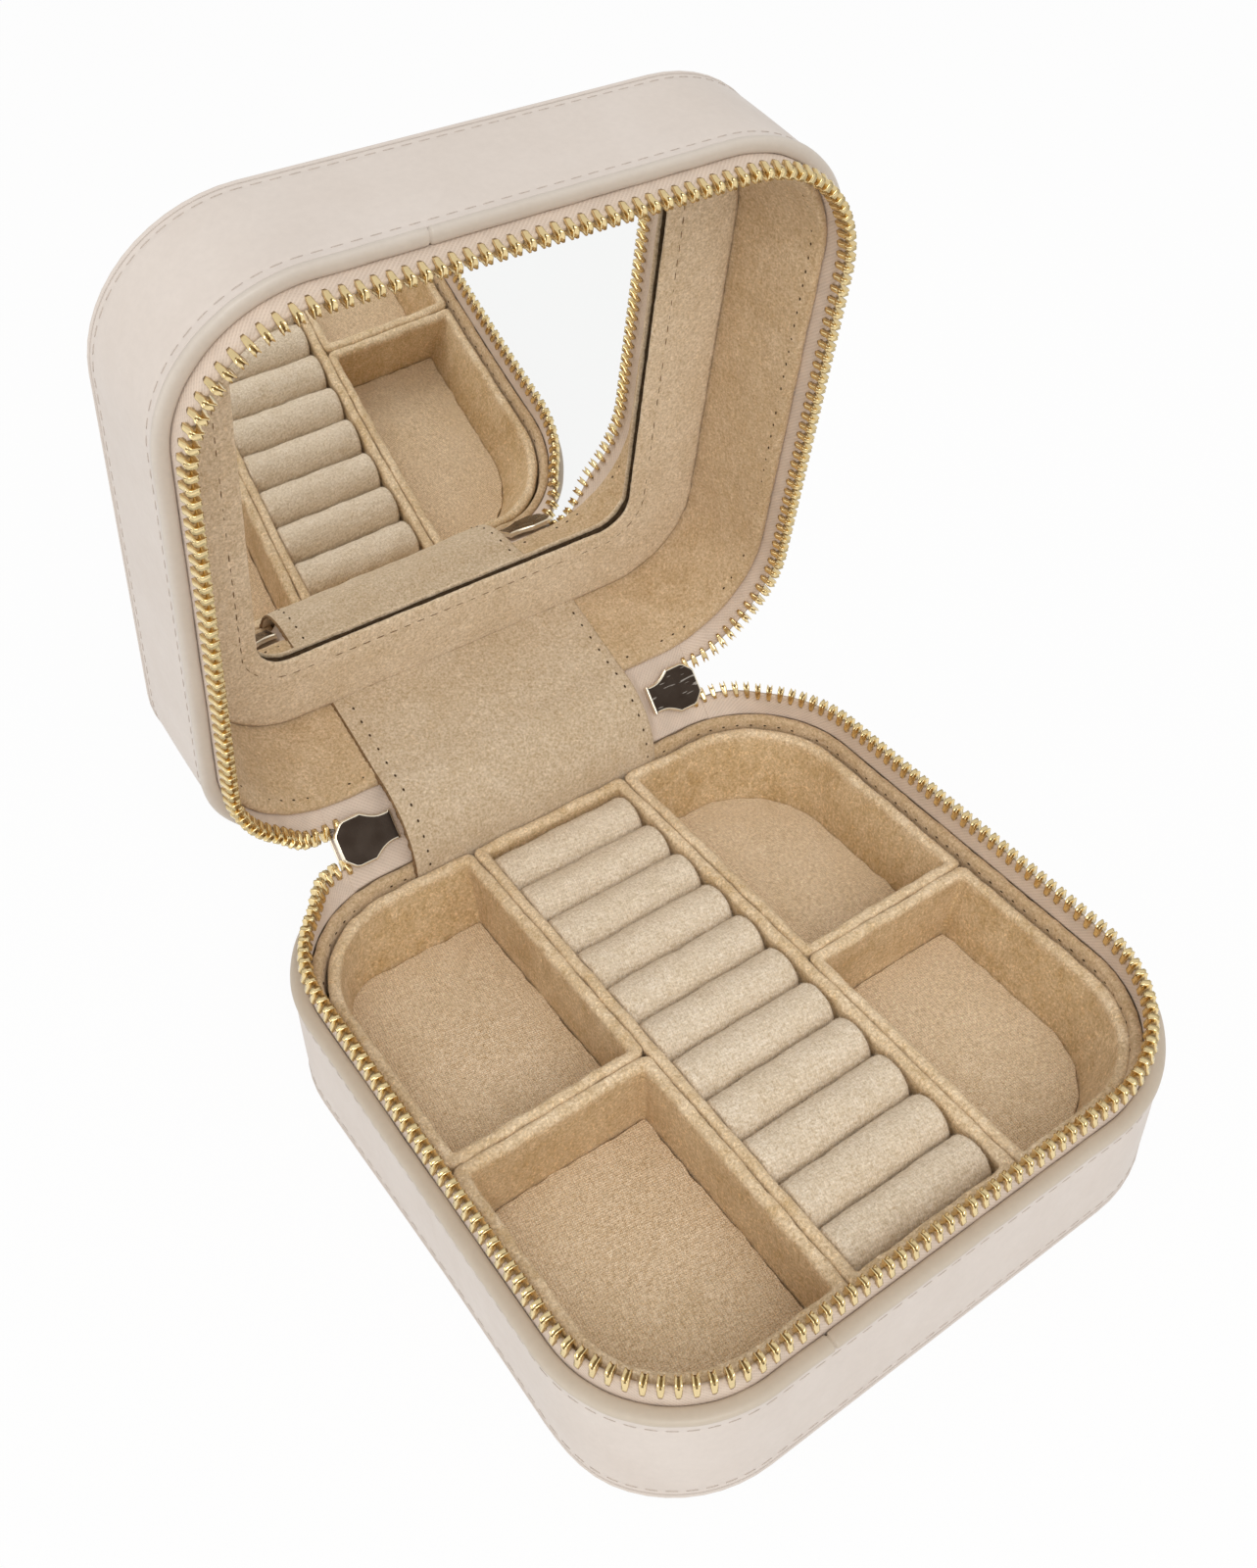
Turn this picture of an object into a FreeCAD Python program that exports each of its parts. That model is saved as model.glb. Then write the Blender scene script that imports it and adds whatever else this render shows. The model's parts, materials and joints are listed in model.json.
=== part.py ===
"""Square zip-round jewellery case, open, with a mirror in its lid and trays in its base.

Millimetres. X runs along the hinge, Y points to the hinge at the back, Z is up.
The origin is the middle of the base's flat underside.
The two halves are alike: each lid piece is drawn where it lies when the case is shut,
turned over about the plane of the zip, and then swung open about the hinge line.
"""
import FreeCAD, Part
import math
import os
import re

import Sketcher
from FreeCAD import Vector

SIZES = [
    ("case_width", 130.0, "outer width along the hinge"),
    ("case_depth", 128.5, "outer depth, front to back"),
    ("corner_radius", 28.0, "outer radius of the upright corners"),
    ("half_height", 29.4, "underside to the plane of the zip"),
    ("lid_open", 79.0, "how far the lid stands open, in degrees"),
    ("hinge_behind", 1.95, "hinge line behind the back face"),
    ("glue_line", 0.05, "gap between glued pieces"),
    ("cover_thick", 0.9, "flat cover panels"),
    ("cover_round", 0.4, "worn edge of the cover panels"),
    ("band_inset", 0.2, "band set in from the cover's edge"),
    ("leather", 1.1, "leather of the bands"),
    ("wall_board", 1.8, "stiff board in the walls"),
    ("floor_board", 1.6, "stiff board in the floor"),
    ("lid_board", 1.2, "stiff board in the lid's top"),
    ("tape_show", 3.7, "rolled rim to the plane of the zip"),
    ("roll_height", 3.3, "height of the rolled rim"),
    ("roll_proud", 0.4, "rolled rim proud of the band"),
    ("roll_round", 1.35, "roundness of the rolled rim"),
    ("roll_past", 8.0, "rolled rim ends this far outside a slider's middle"),
    ("zip_inset", 3.05, "zip line in from the outer face"),
    ("tape_thick", 0.7, "zip tape"),
    ("tape_clear", 0.2, "tape edge clear of the other half's teeth"),
    ("lining_thick", 2.2, "padded suede on the walls"),
    ("lining_round", 0.8, "rolled edge of the wall lining"),
    ("lining_show", 5.6, "lining edge to the plane of the zip"),
    ("tooth_pitch", 2.5, "spacing of the zip teeth"),
    ("tooth_long", 1.0, "tooth along the zip"),
    ("tooth_foot", 3.1, "tooth across its feet"),
    ("tooth_neck", 2.3, "tooth across its neck"),
    ("tooth_head", 1.5, "tooth across its head"),
    ("tooth_slot", 0.84, "slot in the tooth for the tape"),
    ("tooth_drop", 2.9, "feet below the plane of the zip"),
    ("tooth_rise", 1.1, "head above the plane of the zip"),
    ("tray_inset", 6.3, "trays in from the outer face"),
    ("tray_top", 21.2, "tray rims above the underside"),
    ("tray_wall", 2.5, "suede-wrapped tray walls"),
    ("tray_lean", 3.6, "outer tray walls lean in by this much at the floor"),
    ("tray_floor", 1.8, "tray floors"),
    ("tray_gap", 0.4, "gap between neighbouring trays"),
    ("tray_corner", 1.6, "small outer corners of the trays"),
    ("tray_round", 0.7, "rounded tray rims"),
    ("divider_back", -2.5, "where front and back trays meet"),
    ("ring_tray_width", 36.4, "outer width of the ring tray"),
    ("pad_thick", 2.2, "loose floor pads"),
    ("pad_gap", 0.35, "pad to tray wall"),
    ("pad_round", 0.7, "rounded upper edge of the pads"),
    ("ring_roll_count", 11.0, "foam rolls that hold rings"),
    ("ring_roll_gap", 0.2, "gap between neighbouring rolls"),
    ("ring_roll_end", 1.8, "rounded ends of the rolls"),
    ("ring_roll_top", 21.6, "top of the rolls above the underside"),
    ("ring_end_gap", 0.4, "roll to tray wall"),
    ("mirror_window_width", 84.4, "window in the mirror's frame, along the hinge"),
    ("mirror_window_depth", 82.0, "window in the mirror's frame, front to back"),
    ("mirror_window_round", 7.0, "corners of the window"),
    ("mirror_window_aside", -2.8, "middle of the window from the lid's middle, along the hinge"),
    ("mirror_window_back", -3.5, "middle of the window from the lid's middle, front to back"),
    ("mirror_overlap", 7.0, "mirror held behind the frame"),
    ("frame_thick", 1.2, "suede-covered mirror frame"),
    ("frame_inset", 5.9, "mirror frame in from the outer face"),
    ("glass_thick", 1.2, "mirror glass"),
    ("backing_thick", 0.3, "foam tape behind the mirror"),
    ("spine_gap", 9.0, "slider's middle to the leather and lining across the hinge"),
    ("spine_leather", 1.1, "leather across the hinge"),
    ("spine_leather_reach", 19.0, "hinge leather sewn down to here from the zip"),
    ("spine_leather_bend", 6.0, "radius at which the hinge leather folds"),
    ("spine_lining", 0.9, "suede across the hinge"),
    ("spine_lining_tuck", 17.0, "hinge suede tucked behind the trays"),
    ("spine_lining_bend", 13.5, "radius at which the hinge suede folds"),
    ("slider_inset", 28.0, "middle of a zip slider in from the case's side"),
    ("slider_length", 12.4, "zip slider along the zip"),
    ("slider_width", 9.8, "zip slider across its shoulders"),
    ("slider_mouth", 6.0, "slider across its mouth end"),
    ("slider_tail", 6.2, "slider across its tail end"),
    ("slider_shoulder", 4.0, "straight side at the slider's shoulders"),
    ("slider_chamfer", 2.4, "cut corners at the slider's mouth"),
    ("slider_waist", 6.5, "radius of the slider's hollow flanks"),
    ("slider_plate", 1.0, "slider plates"),
    ("slider_gap", 2.4, "room between the slider's plates"),
    ("slider_post", 1.8, "post that joins the slider's plates"),
    ("gusset_thick", 0.6, "tape ends beside the slider"),
    ("gusset_reach", 7.6, "tape ends from the hinge line"),
    ("gusset_slit", 2.8, "opening between the tape ends"),
    ("gusset_seam", 1.6, "tape ends sewn together at the spine"),
    ("crown_length", 8.0, "bridge on the slider that holds the pull"),
    ("crown_bar", 1.6, "bar of that bridge"),
    ("crown_rise", 2.7, "bar above the slider's outer plate"),
    ("pull_length", 16.0, "pull below its eye"),
    ("pull_width", 6.4, "pull across"),
    ("pull_thick", 1.4, "pull plate"),
    ("pull_eye", 4.2, "outer size of the pull's eye"),
    ("pull_eye_width", 3.2, "eye along the bar"),
    ("pull_play", 0.5, "play of the eye on the bar"),
    ("pull_hole", 2.6, "hole near the end of the pull"),
]
ALIASES = {name for name, _, _ in SIZES}
WORD = re.compile(r"[a-z][a-z_]*")

DOC = FreeCAD.newDocument("jewellery_case")
SHEET = DOC.addObject("Spreadsheet::Sheet", "sizes")
for row, (name, size, meaning) in enumerate(SIZES, start=1):
    SHEET.set(f"A{row}", name)
    SHEET.set(f"B{row}", str(size))
    SHEET.setAlias(f"B{row}", name)
    SHEET.set(f"C{row}", meaning)
DOC.recompute()

PIECES = []


def bound(text):
    """A formula in plain size names, as an expression that reads the sheet."""
    return WORD.sub(lambda m: f"sizes.{m[0]}" if m[0] in ALIASES else m[0], text)


def value(text):
    """What a formula in size names comes to now."""
    return float(SHEET.evalExpression(bound(text)))


# Levels and lines that several pieces share, as formulas in size names
BAND_TOP = "(half_height - tape_show - roll_height)"
ROLL_TOP = "(half_height - tape_show)"
BOARD_INSET = "(band_inset + leather + glue_line)"
LINING_INSET = "(band_inset + leather + wall_board + 2 * glue_line)"
FLOOR_TOP = "(cover_thick + floor_board)"
TAPE_STOP = "(tooth_rise + tape_clear)"
LINING_TOP = "(half_height - lining_show)"
GLASS_LOW = "(cover_thick + lid_board + backing_thick)"
FRAME_LOW = "(cover_thick + lid_board + backing_thick + glass_thick)"
FRAME_TOP = "(cover_thick + lid_board + backing_thick + glass_thick + frame_thick)"
TRAY_LOW = "(cover_thick + floor_board + glue_line)"
TRAY_INSIDE = "(cover_thick + floor_board + glue_line + tray_floor)"
HINGE_Y = "(case_depth / 2 + hinge_behind)"
SLIDER_MIDDLE = "(case_width / 2 - slider_inset)"
SPINE_HALF = "(case_width / 2 - slider_inset - spine_gap)"
ZIP_END = f"({SLIDER_MIDDLE} + slider_length / 2 + tooth_pitch / 4)"
SLIDER_HALF = "(slider_gap / 2 + slider_plate)"
BAR_OUT = "(slider_gap / 2 + slider_plate + crown_rise)"
ROLL_PITCH = "((case_depth - 2 * tray_inset - 2 * tray_wall) / ring_roll_count)"
ROLL_RADIUS = f"(({ROLL_PITCH} - ring_roll_gap) / 2)"

SWING = (
    "create(<<placement>>; create(<<vector>>; 0; 0; 0); "
    "create(<<rotation>>; create(<<vector>>; -1; 0; 0); lid_open); "
    f"create(<<vector>>; 0; {HINGE_Y}; half_height))"
)


def new_body(label, swung=False):
    """An empty body, swung open with the lid where it belongs to it."""
    body = DOC.addObject("PartDesign::Body", label)
    body.Label = label
    if swung:
        body.setExpression("Placement", bound(SWING))
    return body


def new_sketch(body, name, role, height="0"):
    """A sketch on one of the body's own planes, moved along that plane's normal."""
    sketch = body.newObject("Sketcher::SketchObject", name)
    plane = [part for part in body.Origin.OriginFeatures if part.Role == role][0]
    sketch.AttachmentSupport = (plane, [""])
    sketch.MapMode = "FlatFace"
    sketch.setExpression("AttachmentOffset.Base.z", bound(height))
    return sketch


def hold(sketch, kind, geometry, end, formula):
    """Fix one coordinate of a sketch point, on whichever side of the origin it lies."""
    now = value(formula)
    if now < 0:
        number = sketch.addConstraint(Sketcher.Constraint(kind, geometry, end, -1, 1, -now))
        sketch.setExpression(f"Constraints[{number}]", bound(f"-({formula})"))
    else:
        number = sketch.addConstraint(Sketcher.Constraint(kind, -1, 1, geometry, end, now))
        sketch.setExpression(f"Constraints[{number}]", bound(formula))


def hold_radius(sketch, geometry, formula):
    """Fix the radius of a sketch arc."""
    number = sketch.addConstraint(Sketcher.Constraint("Radius", geometry, value(formula)))
    sketch.setExpression(f"Constraints[{number}]", bound(formula))


def rounded_loop(sketch, loop):
    """Add a rounded rectangle: left, right, front, back and its four corner radii."""
    left, right, front, back, radii = loop
    west, east, south, north = (value(side) for side in (left, right, front, back))
    sizes = [value(radius) for radius in radii]
    first = sketch.GeometryCount
    corners = [(east, south, -90), (east, north, 0), (west, north, 90), (west, south, 180)]
    starts = [(west + sizes[3], south), (east, south + sizes[0])]
    starts += [(east - sizes[1], north), (west, north - sizes[2])]
    ends = [(east - sizes[0], south), (east, north - sizes[1])]
    ends += [(west + sizes[2], north), (west, south + sizes[3])]
    for side in range(4):
        line = Part.LineSegment(Vector(*starts[side], 0), Vector(*ends[side], 0))
        sketch.addGeometry(line)
        x, y, angle = corners[side]
        radius = sizes[side]
        inward_x = -1 if x == east else 1
        inward_y = 1 if y == south else -1
        centre = Vector(x + inward_x * radius, y + inward_y * radius, 0)
        circle = Part.Circle(centre, Vector(0, 0, 1), radius)
        sketch.addGeometry(Part.ArcOfCircle(circle, math.radians(angle), math.radians(angle + 90)))
    for side in range(4):
        line = first + 2 * side
        arc = line + 1
        following = first + (2 * side + 2) % 8
        sketch.addConstraint(Sketcher.Constraint("Tangent", line, 2, arc, 1))
        sketch.addConstraint(Sketcher.Constraint("Tangent", arc, 2, following, 1))
        sketch.addConstraint(Sketcher.Constraint("Vertical" if side % 2 else "Horizontal", line))
        hold_radius(sketch, arc, radii[side])
    hold(sketch, "DistanceY", first, 1, front)
    hold(sketch, "DistanceX", first + 2, 1, right)
    hold(sketch, "DistanceY", first + 4, 1, back)
    hold(sketch, "DistanceX", first + 6, 1, left)


def pointed_loop(sketch, points, hollows=None):
    """Add a closed outline through points. Where hollows gives a radius, the side curves inwards."""
    hollows = hollows or {}
    first = sketch.GeometryCount
    spots = [Vector(value(x), value(y), 0) for x, y in points]
    for side, start in enumerate(spots):
        end = spots[(side + 1) % len(spots)]
        if side not in hollows:
            sketch.addGeometry(Part.LineSegment(start, end))
            continue
        radius = value(hollows[side])
        along = end - start
        left = Vector(-along.y, along.x, 0).normalize()
        sagitta = radius - math.sqrt(radius**2 - (along.Length / 2) ** 2)
        middle = (start + end) / 2 + left * sagitta
        sketch.addGeometry(Part.Arc(start, middle, end))
    for side in range(len(spots)):
        # an arc is stored anticlockwise, so a hollow side runs from its second end to its first
        end = 1 if side in hollows else 2
        following = (side + 1) % len(spots)
        start = 2 if following in hollows else 1
        sketch.addConstraint(
            Sketcher.Constraint("Coincident", first + side, end, first + following, start)
        )
    for side, (x, y) in enumerate(points):
        start = 2 if side in hollows else 1
        hold(sketch, "DistanceX", first + side, start, x)
        hold(sketch, "DistanceY", first + side, start, y)
    for side, radius in hollows.items():
        hold_radius(sketch, first + side, radius)


def pad(body, sketch, length):
    """Raise a sketch into a solid."""
    feature = body.newObject("PartDesign::Pad", sketch.Name + "_pad")
    feature.Profile = sketch
    feature.setExpression("Length", bound(length))
    DOC.recompute()
    return feature


def pocket(body, sketch, depth=None):
    """Sink a sketch into the body, right through where no depth is given."""
    before = body.Shape.Volume
    feature = body.newObject("PartDesign::Pocket", sketch.Name + "_pocket")
    feature.Profile = sketch
    if depth is None:
        feature.Type = "ThroughAll"
    else:
        feature.setExpression("Length", bound(depth))
    DOC.recompute()
    if feature.Shape.Volume >= before:
        raise RuntimeError(f"{feature.Name} cuts nothing")
    return feature


def hollow_between(body, mouth, foot):
    """Hollow the body out from one sketch straight down to another."""
    before = body.Shape.Volume
    feature = body.newObject("PartDesign::SubtractiveLoft", mouth.Name + "_hollow")
    feature.Profile = mouth
    feature.Sections = [foot]
    feature.Ruled = True
    DOC.recompute()
    if feature.Shape.Volume >= before:
        raise RuntimeError(f"{feature.Name} cuts nothing")
    return feature


def soften(body, feature, radius, chosen):
    """Round the edges of a feature that chosen picks."""
    names = [f"Edge{n}" for n, edge in enumerate(feature.Shape.Edges, start=1) if chosen(edge)]
    rounding = body.newObject("PartDesign::Fillet", feature.Name + "_round")
    rounding.Base = (feature, names)
    rounding.setExpression("Radius", bound(radius))
    DOC.recompute()
    return rounding


def level(edge):
    """The height of a level edge, or None where it climbs."""
    box = edge.BoundBox
    return box.ZMin if box.ZLength < 1e-6 else None


def at_height(height):
    """A test for the level edges at a height."""
    return lambda edge: level(edge) is not None and abs(level(edge) - height) < 1e-6


def case_loop(inset):
    """The case's outline, set in from its outer face."""
    half_x = f"(case_width / 2 - {inset})"
    half_y = f"(case_depth / 2 - {inset})"
    radius = f"(corner_radius - {inset})"
    return f"-{half_x}", half_x, f"-{half_y}", half_y, [radius] * 4


def window_loop(margin):
    """The mirror's window, with a margin round it."""
    half_x = f"(mirror_window_width / 2 + {margin})"
    half_y = f"(mirror_window_depth / 2 + {margin})"
    radius = f"(mirror_window_round + {margin})"
    across = (f"(mirror_window_aside - {half_x})", f"(mirror_window_aside + {half_x})")
    along = (f"(mirror_window_back - {half_y})", f"(mirror_window_back + {half_y})")
    return *across, *along, [radius] * 4


def slab(label, loops, low, high, lid=False):
    """A piece of one outline, or a ring of two, between two heights of its half."""
    body = new_body(label, lid)
    start = f"2 * half_height - {high}" if lid else low
    sketch = new_sketch(body, label + "_outline", "XY_Plane", start)
    for loop in loops:
        rounded_loop(sketch, loop)
    feature = pad(body, sketch, f"{high} - {low}")
    PIECES.append(body)
    return body, feature


def cut_back(body, half_width, top):
    """Take the middle of the back out of a ring, from its upper face down."""
    sketch = new_sketch(body, body.Label + "_back", "XY_Plane", top)
    reach = "case_depth"
    corners = [(f"-{half_width}", "glue_line"), (half_width, "glue_line")]
    corners += [(half_width, reach), (f"-{half_width}", reach)]
    pointed_loop(sketch, corners)
    pocket(body, sketch)


def shut_height(height, lid):
    """A height above the case's underside, turned over for a lid piece, with the case shut."""
    return f"(2 * half_height - {height})" if lid else height


def half_case(side, lid):
    """Leather, boards, rolled rim, zip tape and lining of one half of the case."""
    cover = "top_cover" if lid else "bottom_cover"
    body, panel = slab(f"{side}_{cover}", [case_loop("0")], "0", "cover_thick", lid)
    face = value(shut_height("0", lid))
    soften(body, panel, "cover_round", at_height(face))

    walls = [case_loop("band_inset"), case_loop("(band_inset + leather)")]
    slab(f"{side}_band", walls, "cover_thick", BAND_TOP, lid)

    board = [case_loop(BOARD_INSET), case_loop(f"({BOARD_INSET} + wall_board)")]
    slab(f"{side}_wall_board", board, "cover_thick", BAND_TOP, lid)

    roll = [case_loop("(band_inset - roll_proud)"), case_loop("(zip_inset - tape_thick / 2 - glue_line)")]
    body, ring = slab(f"{side}_rim_roll", roll, BAND_TOP, ROLL_TOP, lid)
    outer = value("case_width / 2 - band_inset + roll_proud")
    radius = value("corner_radius - band_inset + roll_proud")

    def on_outside(edge):
        if level(edge) is None:
            return False
        if hasattr(edge.Curve, "Radius"):
            return abs(edge.Curve.Radius - radius) < 1e-6
        middle = edge.valueAt((edge.FirstParameter + edge.LastParameter) / 2)
        depth = value("case_depth / 2 - band_inset + roll_proud")
        return abs(abs(middle.x) - outer) < 1e-6 or abs(abs(middle.y) - depth) < 1e-6

    soften(body, ring, "roll_round", on_outside)
    roll_stop = f"({SLIDER_MIDDLE} + roll_past)"
    cut_back(body, roll_stop, shut_height(BAND_TOP, True) if lid else ROLL_TOP)

    tape = [case_loop("(zip_inset - tape_thick / 2)"), case_loop("(zip_inset + tape_thick / 2)")]
    tape_top = f"(half_height - {TAPE_STOP})"
    body, _ = slab(f"{side}_zip_tape", tape, f"({BAND_TOP} + glue_line)", tape_top, lid)
    cut_back(body, ZIP_END, shut_height(BAND_TOP, True) if lid else tape_top)

    inner = f"({LINING_INSET} + lining_thick)"
    lining = [case_loop("(zip_inset + tape_thick / 2 + glue_line)"), case_loop(inner)]
    low = f"({FRAME_TOP} + glue_line)" if lid else FLOOR_TOP
    body, ring = slab(f"{side}_wall_lining", lining, low, LINING_TOP, lid)
    edge_height = value(shut_height(LINING_TOP, lid))
    soften(body, ring, "lining_round", at_height(edge_height))
    cut_back(body, f"({SPINE_HALF} + glue_line)", shut_height(low, True) if lid else LINING_TOP)


def base_floor():
    """The stiff board under the trays."""
    slab("base_floor_board", [case_loop(LINING_INSET)], "cover_thick", FLOOR_TOP)


def lid_mirror():
    """The lid's stiff top board, the mirror with its foam tape and spacer, and its suede frame."""
    board_top = "(cover_thick + lid_board)"
    slab("lid_top_board", [case_loop(LINING_INSET)], "cover_thick", board_top, True)
    mirror = window_loop("mirror_overlap")
    slab("mirror_backing", [mirror], board_top, GLASS_LOW, True)
    slab("mirror_glass", [mirror], GLASS_LOW, FRAME_LOW, True)
    spacer = [case_loop("frame_inset"), window_loop("(mirror_overlap + pad_gap)")]
    slab("mirror_spacer", spacer, board_top, FRAME_LOW, True)
    slab("mirror_frame", [case_loop("frame_inset"), window_loop("0")], FRAME_LOW, FRAME_TOP, True)


def drawn_in(sides, margin, lean):
    """Left, right, front and back, drawn in by a margin and by each side's own lean."""
    left, right, front, back = sides
    across = (f"{left} + {margin} + {lean[0]}", f"{right} - {margin} - {lean[1]}")
    along = (f"{front} + {margin} + {lean[2]}", f"{back} - {margin} - {lean[3]}")
    return *across, *along


def tray(label, sides, radii, lean):
    """A suede-wrapped box, open above. A wall with a lean comes in towards the floor."""
    body, block = slab(label, [(*sides, radii)], TRAY_LOW, "tray_top")
    inner = [f"({radius} - tray_wall)" if "corner_radius" in radius else "tray_round" for radius in radii]
    mouth = new_sketch(body, label + "_mouth", "XY_Plane", "tray_top")
    rounded_loop(mouth, (*drawn_in(sides, "tray_wall", ["0"] * 4), inner))
    foot = new_sketch(body, label + "_foot", "XY_Plane", TRAY_INSIDE)
    rounded_loop(foot, (*drawn_in(sides, "tray_wall", lean), inner))
    hollow = hollow_between(body, mouth, foot)
    soften(body, hollow, "tray_round", at_height(value("tray_top")))


def floor_pad(label, sides, radii, lean):
    """A loose pad on a tray's floor, with a softened upper edge."""
    margin = "(tray_wall + pad_gap)"
    inner = [f"({radius} - {margin})" if "corner_radius" in radius else "pad_round" for radius in radii]
    low = f"({TRAY_INSIDE} + glue_line)"
    loop = (*drawn_in(sides, margin, lean), inner)
    body, block = slab(label, [loop], low, f"({low} + pad_thick)")
    soften(body, block, "pad_round", at_height(value(f"{low} + pad_thick")))


def trays():
    """Four corner trays with their pads, and the ring tray between them."""
    side = "(case_width / 2 - tray_inset)"
    end = "(case_depth / 2 - tray_inset)"
    inside = "(ring_tray_width / 2 + tray_gap)"
    big = "(corner_radius - tray_inset)"
    small = "tray_corner"
    ahead = "(divider_back - tray_gap / 2)"
    behind = "(divider_back + tray_gap / 2)"
    right = (inside, side)
    left = (f"-{side}", f"-{inside}")
    front = (f"-{end}", ahead)
    back = (behind, end)
    lean = "tray_lean"
    corner_trays = {
        "front_right": ((*right, *front), [big, small, small, small], ["0", lean, lean, "0"]),
        "back_right": ((*right, *back), [small, big, small, small], ["0", lean, "0", lean]),
        "back_left": ((*left, *back), [small, small, big, small], [lean, "0", "0", lean]),
        "front_left": ((*left, *front), [small, small, small, big], [lean, "0", lean, "0"]),
    }
    for place, shape in corner_trays.items():
        tray(f"tray_{place}", *shape)
        floor_pad(f"tray_pad_{place}", *shape)
    half = "(ring_tray_width / 2)"
    tray("ring_tray", (f"-{half}", half, f"-{end}", end), [small] * 4, ["0"] * 4)


def ring_rolls():
    """A foam bed and the row of foam rolls that lie on it, each with rounded ends."""
    half = "(ring_tray_width / 2 - tray_wall - ring_end_gap)"
    end = "(case_depth / 2 - tray_inset - tray_wall - ring_end_gap)"
    bed_top = f"(ring_roll_top - 2 * {ROLL_RADIUS} - glue_line)"
    loop = (f"-{half}", half, f"-{end}", end, ["pad_round"] * 4)
    slab("ring_foam_bed", [loop], f"({TRAY_INSIDE} + glue_line)", bed_top)
    for number in range(1, int(value("ring_roll_count")) + 1):
        label = f"ring_roll_{number}"
        body = new_body(label)
        place = f"(ring_roll_count + 1 - 2 * {number}) / 2 * {ROLL_PITCH}"
        middle = f"create(<<vector>>; 0; {place}; ring_roll_top - {ROLL_RADIUS})"
        body.setExpression("Placement.Base", bound(middle))
        sketch = new_sketch(body, label + "_profile", "XZ_Plane")
        straight = f"({half} - ring_roll_end)"
        flat = f"({ROLL_RADIUS} - ring_roll_end)"
        roll_profile(sketch, half, straight, flat)
        turned = body.newObject("PartDesign::Revolution", label + "_turned")
        turned.Profile = sketch
        turned.ReferenceAxis = (sketch, ["H_Axis"])
        turned.Angle = 360
        DOC.recompute()
        PIECES.append(body)


def roll_profile(sketch, half, straight, flat):
    """Half of a roll's lengthwise section: a flat side and two rounded ends, on its axis."""
    points = [(f"-{half}", flat), (f"-{straight}", ROLL_RADIUS), (straight, ROLL_RADIUS), (half, flat)]
    spots = [Vector(value(x), value(y), 0) for x, y in points]
    feet = [Vector(spots[0].x, 0, 0), Vector(spots[3].x, 0, 0)]
    radius = value("ring_roll_end")
    up = Vector(0, 0, 1)
    near = Part.Circle(Vector(spots[1].x, spots[0].y, 0), up, radius)
    far = Part.Circle(Vector(spots[2].x, spots[3].y, 0), up, radius)
    sketch.addGeometry(Part.LineSegment(feet[0], feet[1]))
    sketch.addGeometry(Part.LineSegment(feet[1], spots[3]))
    sketch.addGeometry(Part.ArcOfCircle(far, 0, math.pi / 2))
    sketch.addGeometry(Part.LineSegment(spots[2], spots[1]))
    sketch.addGeometry(Part.ArcOfCircle(near, math.pi / 2, math.pi))
    sketch.addGeometry(Part.LineSegment(spots[0], feet[0]))
    sketch.addConstraint(Sketcher.Constraint("Coincident", 0, 2, 1, 1))
    sketch.addConstraint(Sketcher.Constraint("Coincident", 5, 2, 0, 1))
    sketch.addConstraint(Sketcher.Constraint("PointOnObject", 0, 1, -1))
    sketch.addConstraint(Sketcher.Constraint("PointOnObject", 0, 2, -1))
    sketch.addConstraint(Sketcher.Constraint("Vertical", 1))
    sketch.addConstraint(Sketcher.Constraint("Vertical", 5))
    sketch.addConstraint(Sketcher.Constraint("Horizontal", 3))
    for side in range(1, 5):
        sketch.addConstraint(Sketcher.Constraint("Tangent", side, 2, side + 1, 1))
    hold(sketch, "DistanceX", 1, 1, half)
    hold(sketch, "DistanceX", 5, 2, f"-{half}")
    hold(sketch, "DistanceY", 3, 1, ROLL_RADIUS)
    hold_radius(sketch, 2, "ring_roll_end")
    sketch.addConstraint(Sketcher.Constraint("Equal", 2, 4))


def zip_stations(shift):
    """Where the teeth of one half stand: points and headings along the zip, slider to slider."""
    half_x = value("case_width / 2 - zip_inset")
    half_y = value("case_depth / 2 - zip_inset")
    radius = value("corner_radius - zip_inset")
    end_angle = math.asin((value(ZIP_END) - half_x + radius) / radius)
    bend = math.pi / 2
    runs = [
        ("arc", (half_x - radius, half_y - radius), bend - end_angle, bend - end_angle),
        ("line", (half_x, half_y - radius), 0.0, 2 * (half_y - radius)),
        ("arc", (half_x - radius, radius - half_y), 0.0, bend),
        ("line", (half_x - radius, -half_y), -bend, 2 * (half_x - radius)),
        ("arc", (radius - half_x, radius - half_y), -bend, bend),
        ("line", (-half_x, radius - half_y), -2 * bend, 2 * (half_y - radius)),
        ("arc", (radius - half_x, half_y - radius), -2 * bend, bend - end_angle),
    ]
    lengths = [size * radius if kind == "arc" else size for kind, _, _, size in runs]
    pitch = value("tooth_pitch")
    count = int((sum(lengths) - pitch) // pitch)
    spare = (sum(lengths) - (count - 0.5) * pitch) / 2
    stations = []
    for number in range(count):
        along = spare + (number + shift) * pitch
        run = 0
        while along > lengths[run]:
            along -= lengths[run]
            run += 1
        kind, (x, y), angle, _ = runs[run]
        if kind == "arc":
            angle -= along / radius
            spot = Vector(x + radius * math.cos(angle), y + radius * math.sin(angle), 0)
        else:
            heading = angle - bend
            spot = Vector(x + along * math.cos(heading), y + along * math.sin(heading), 0)
        stations.append((spot, math.degrees(angle)))
    return stations


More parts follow.
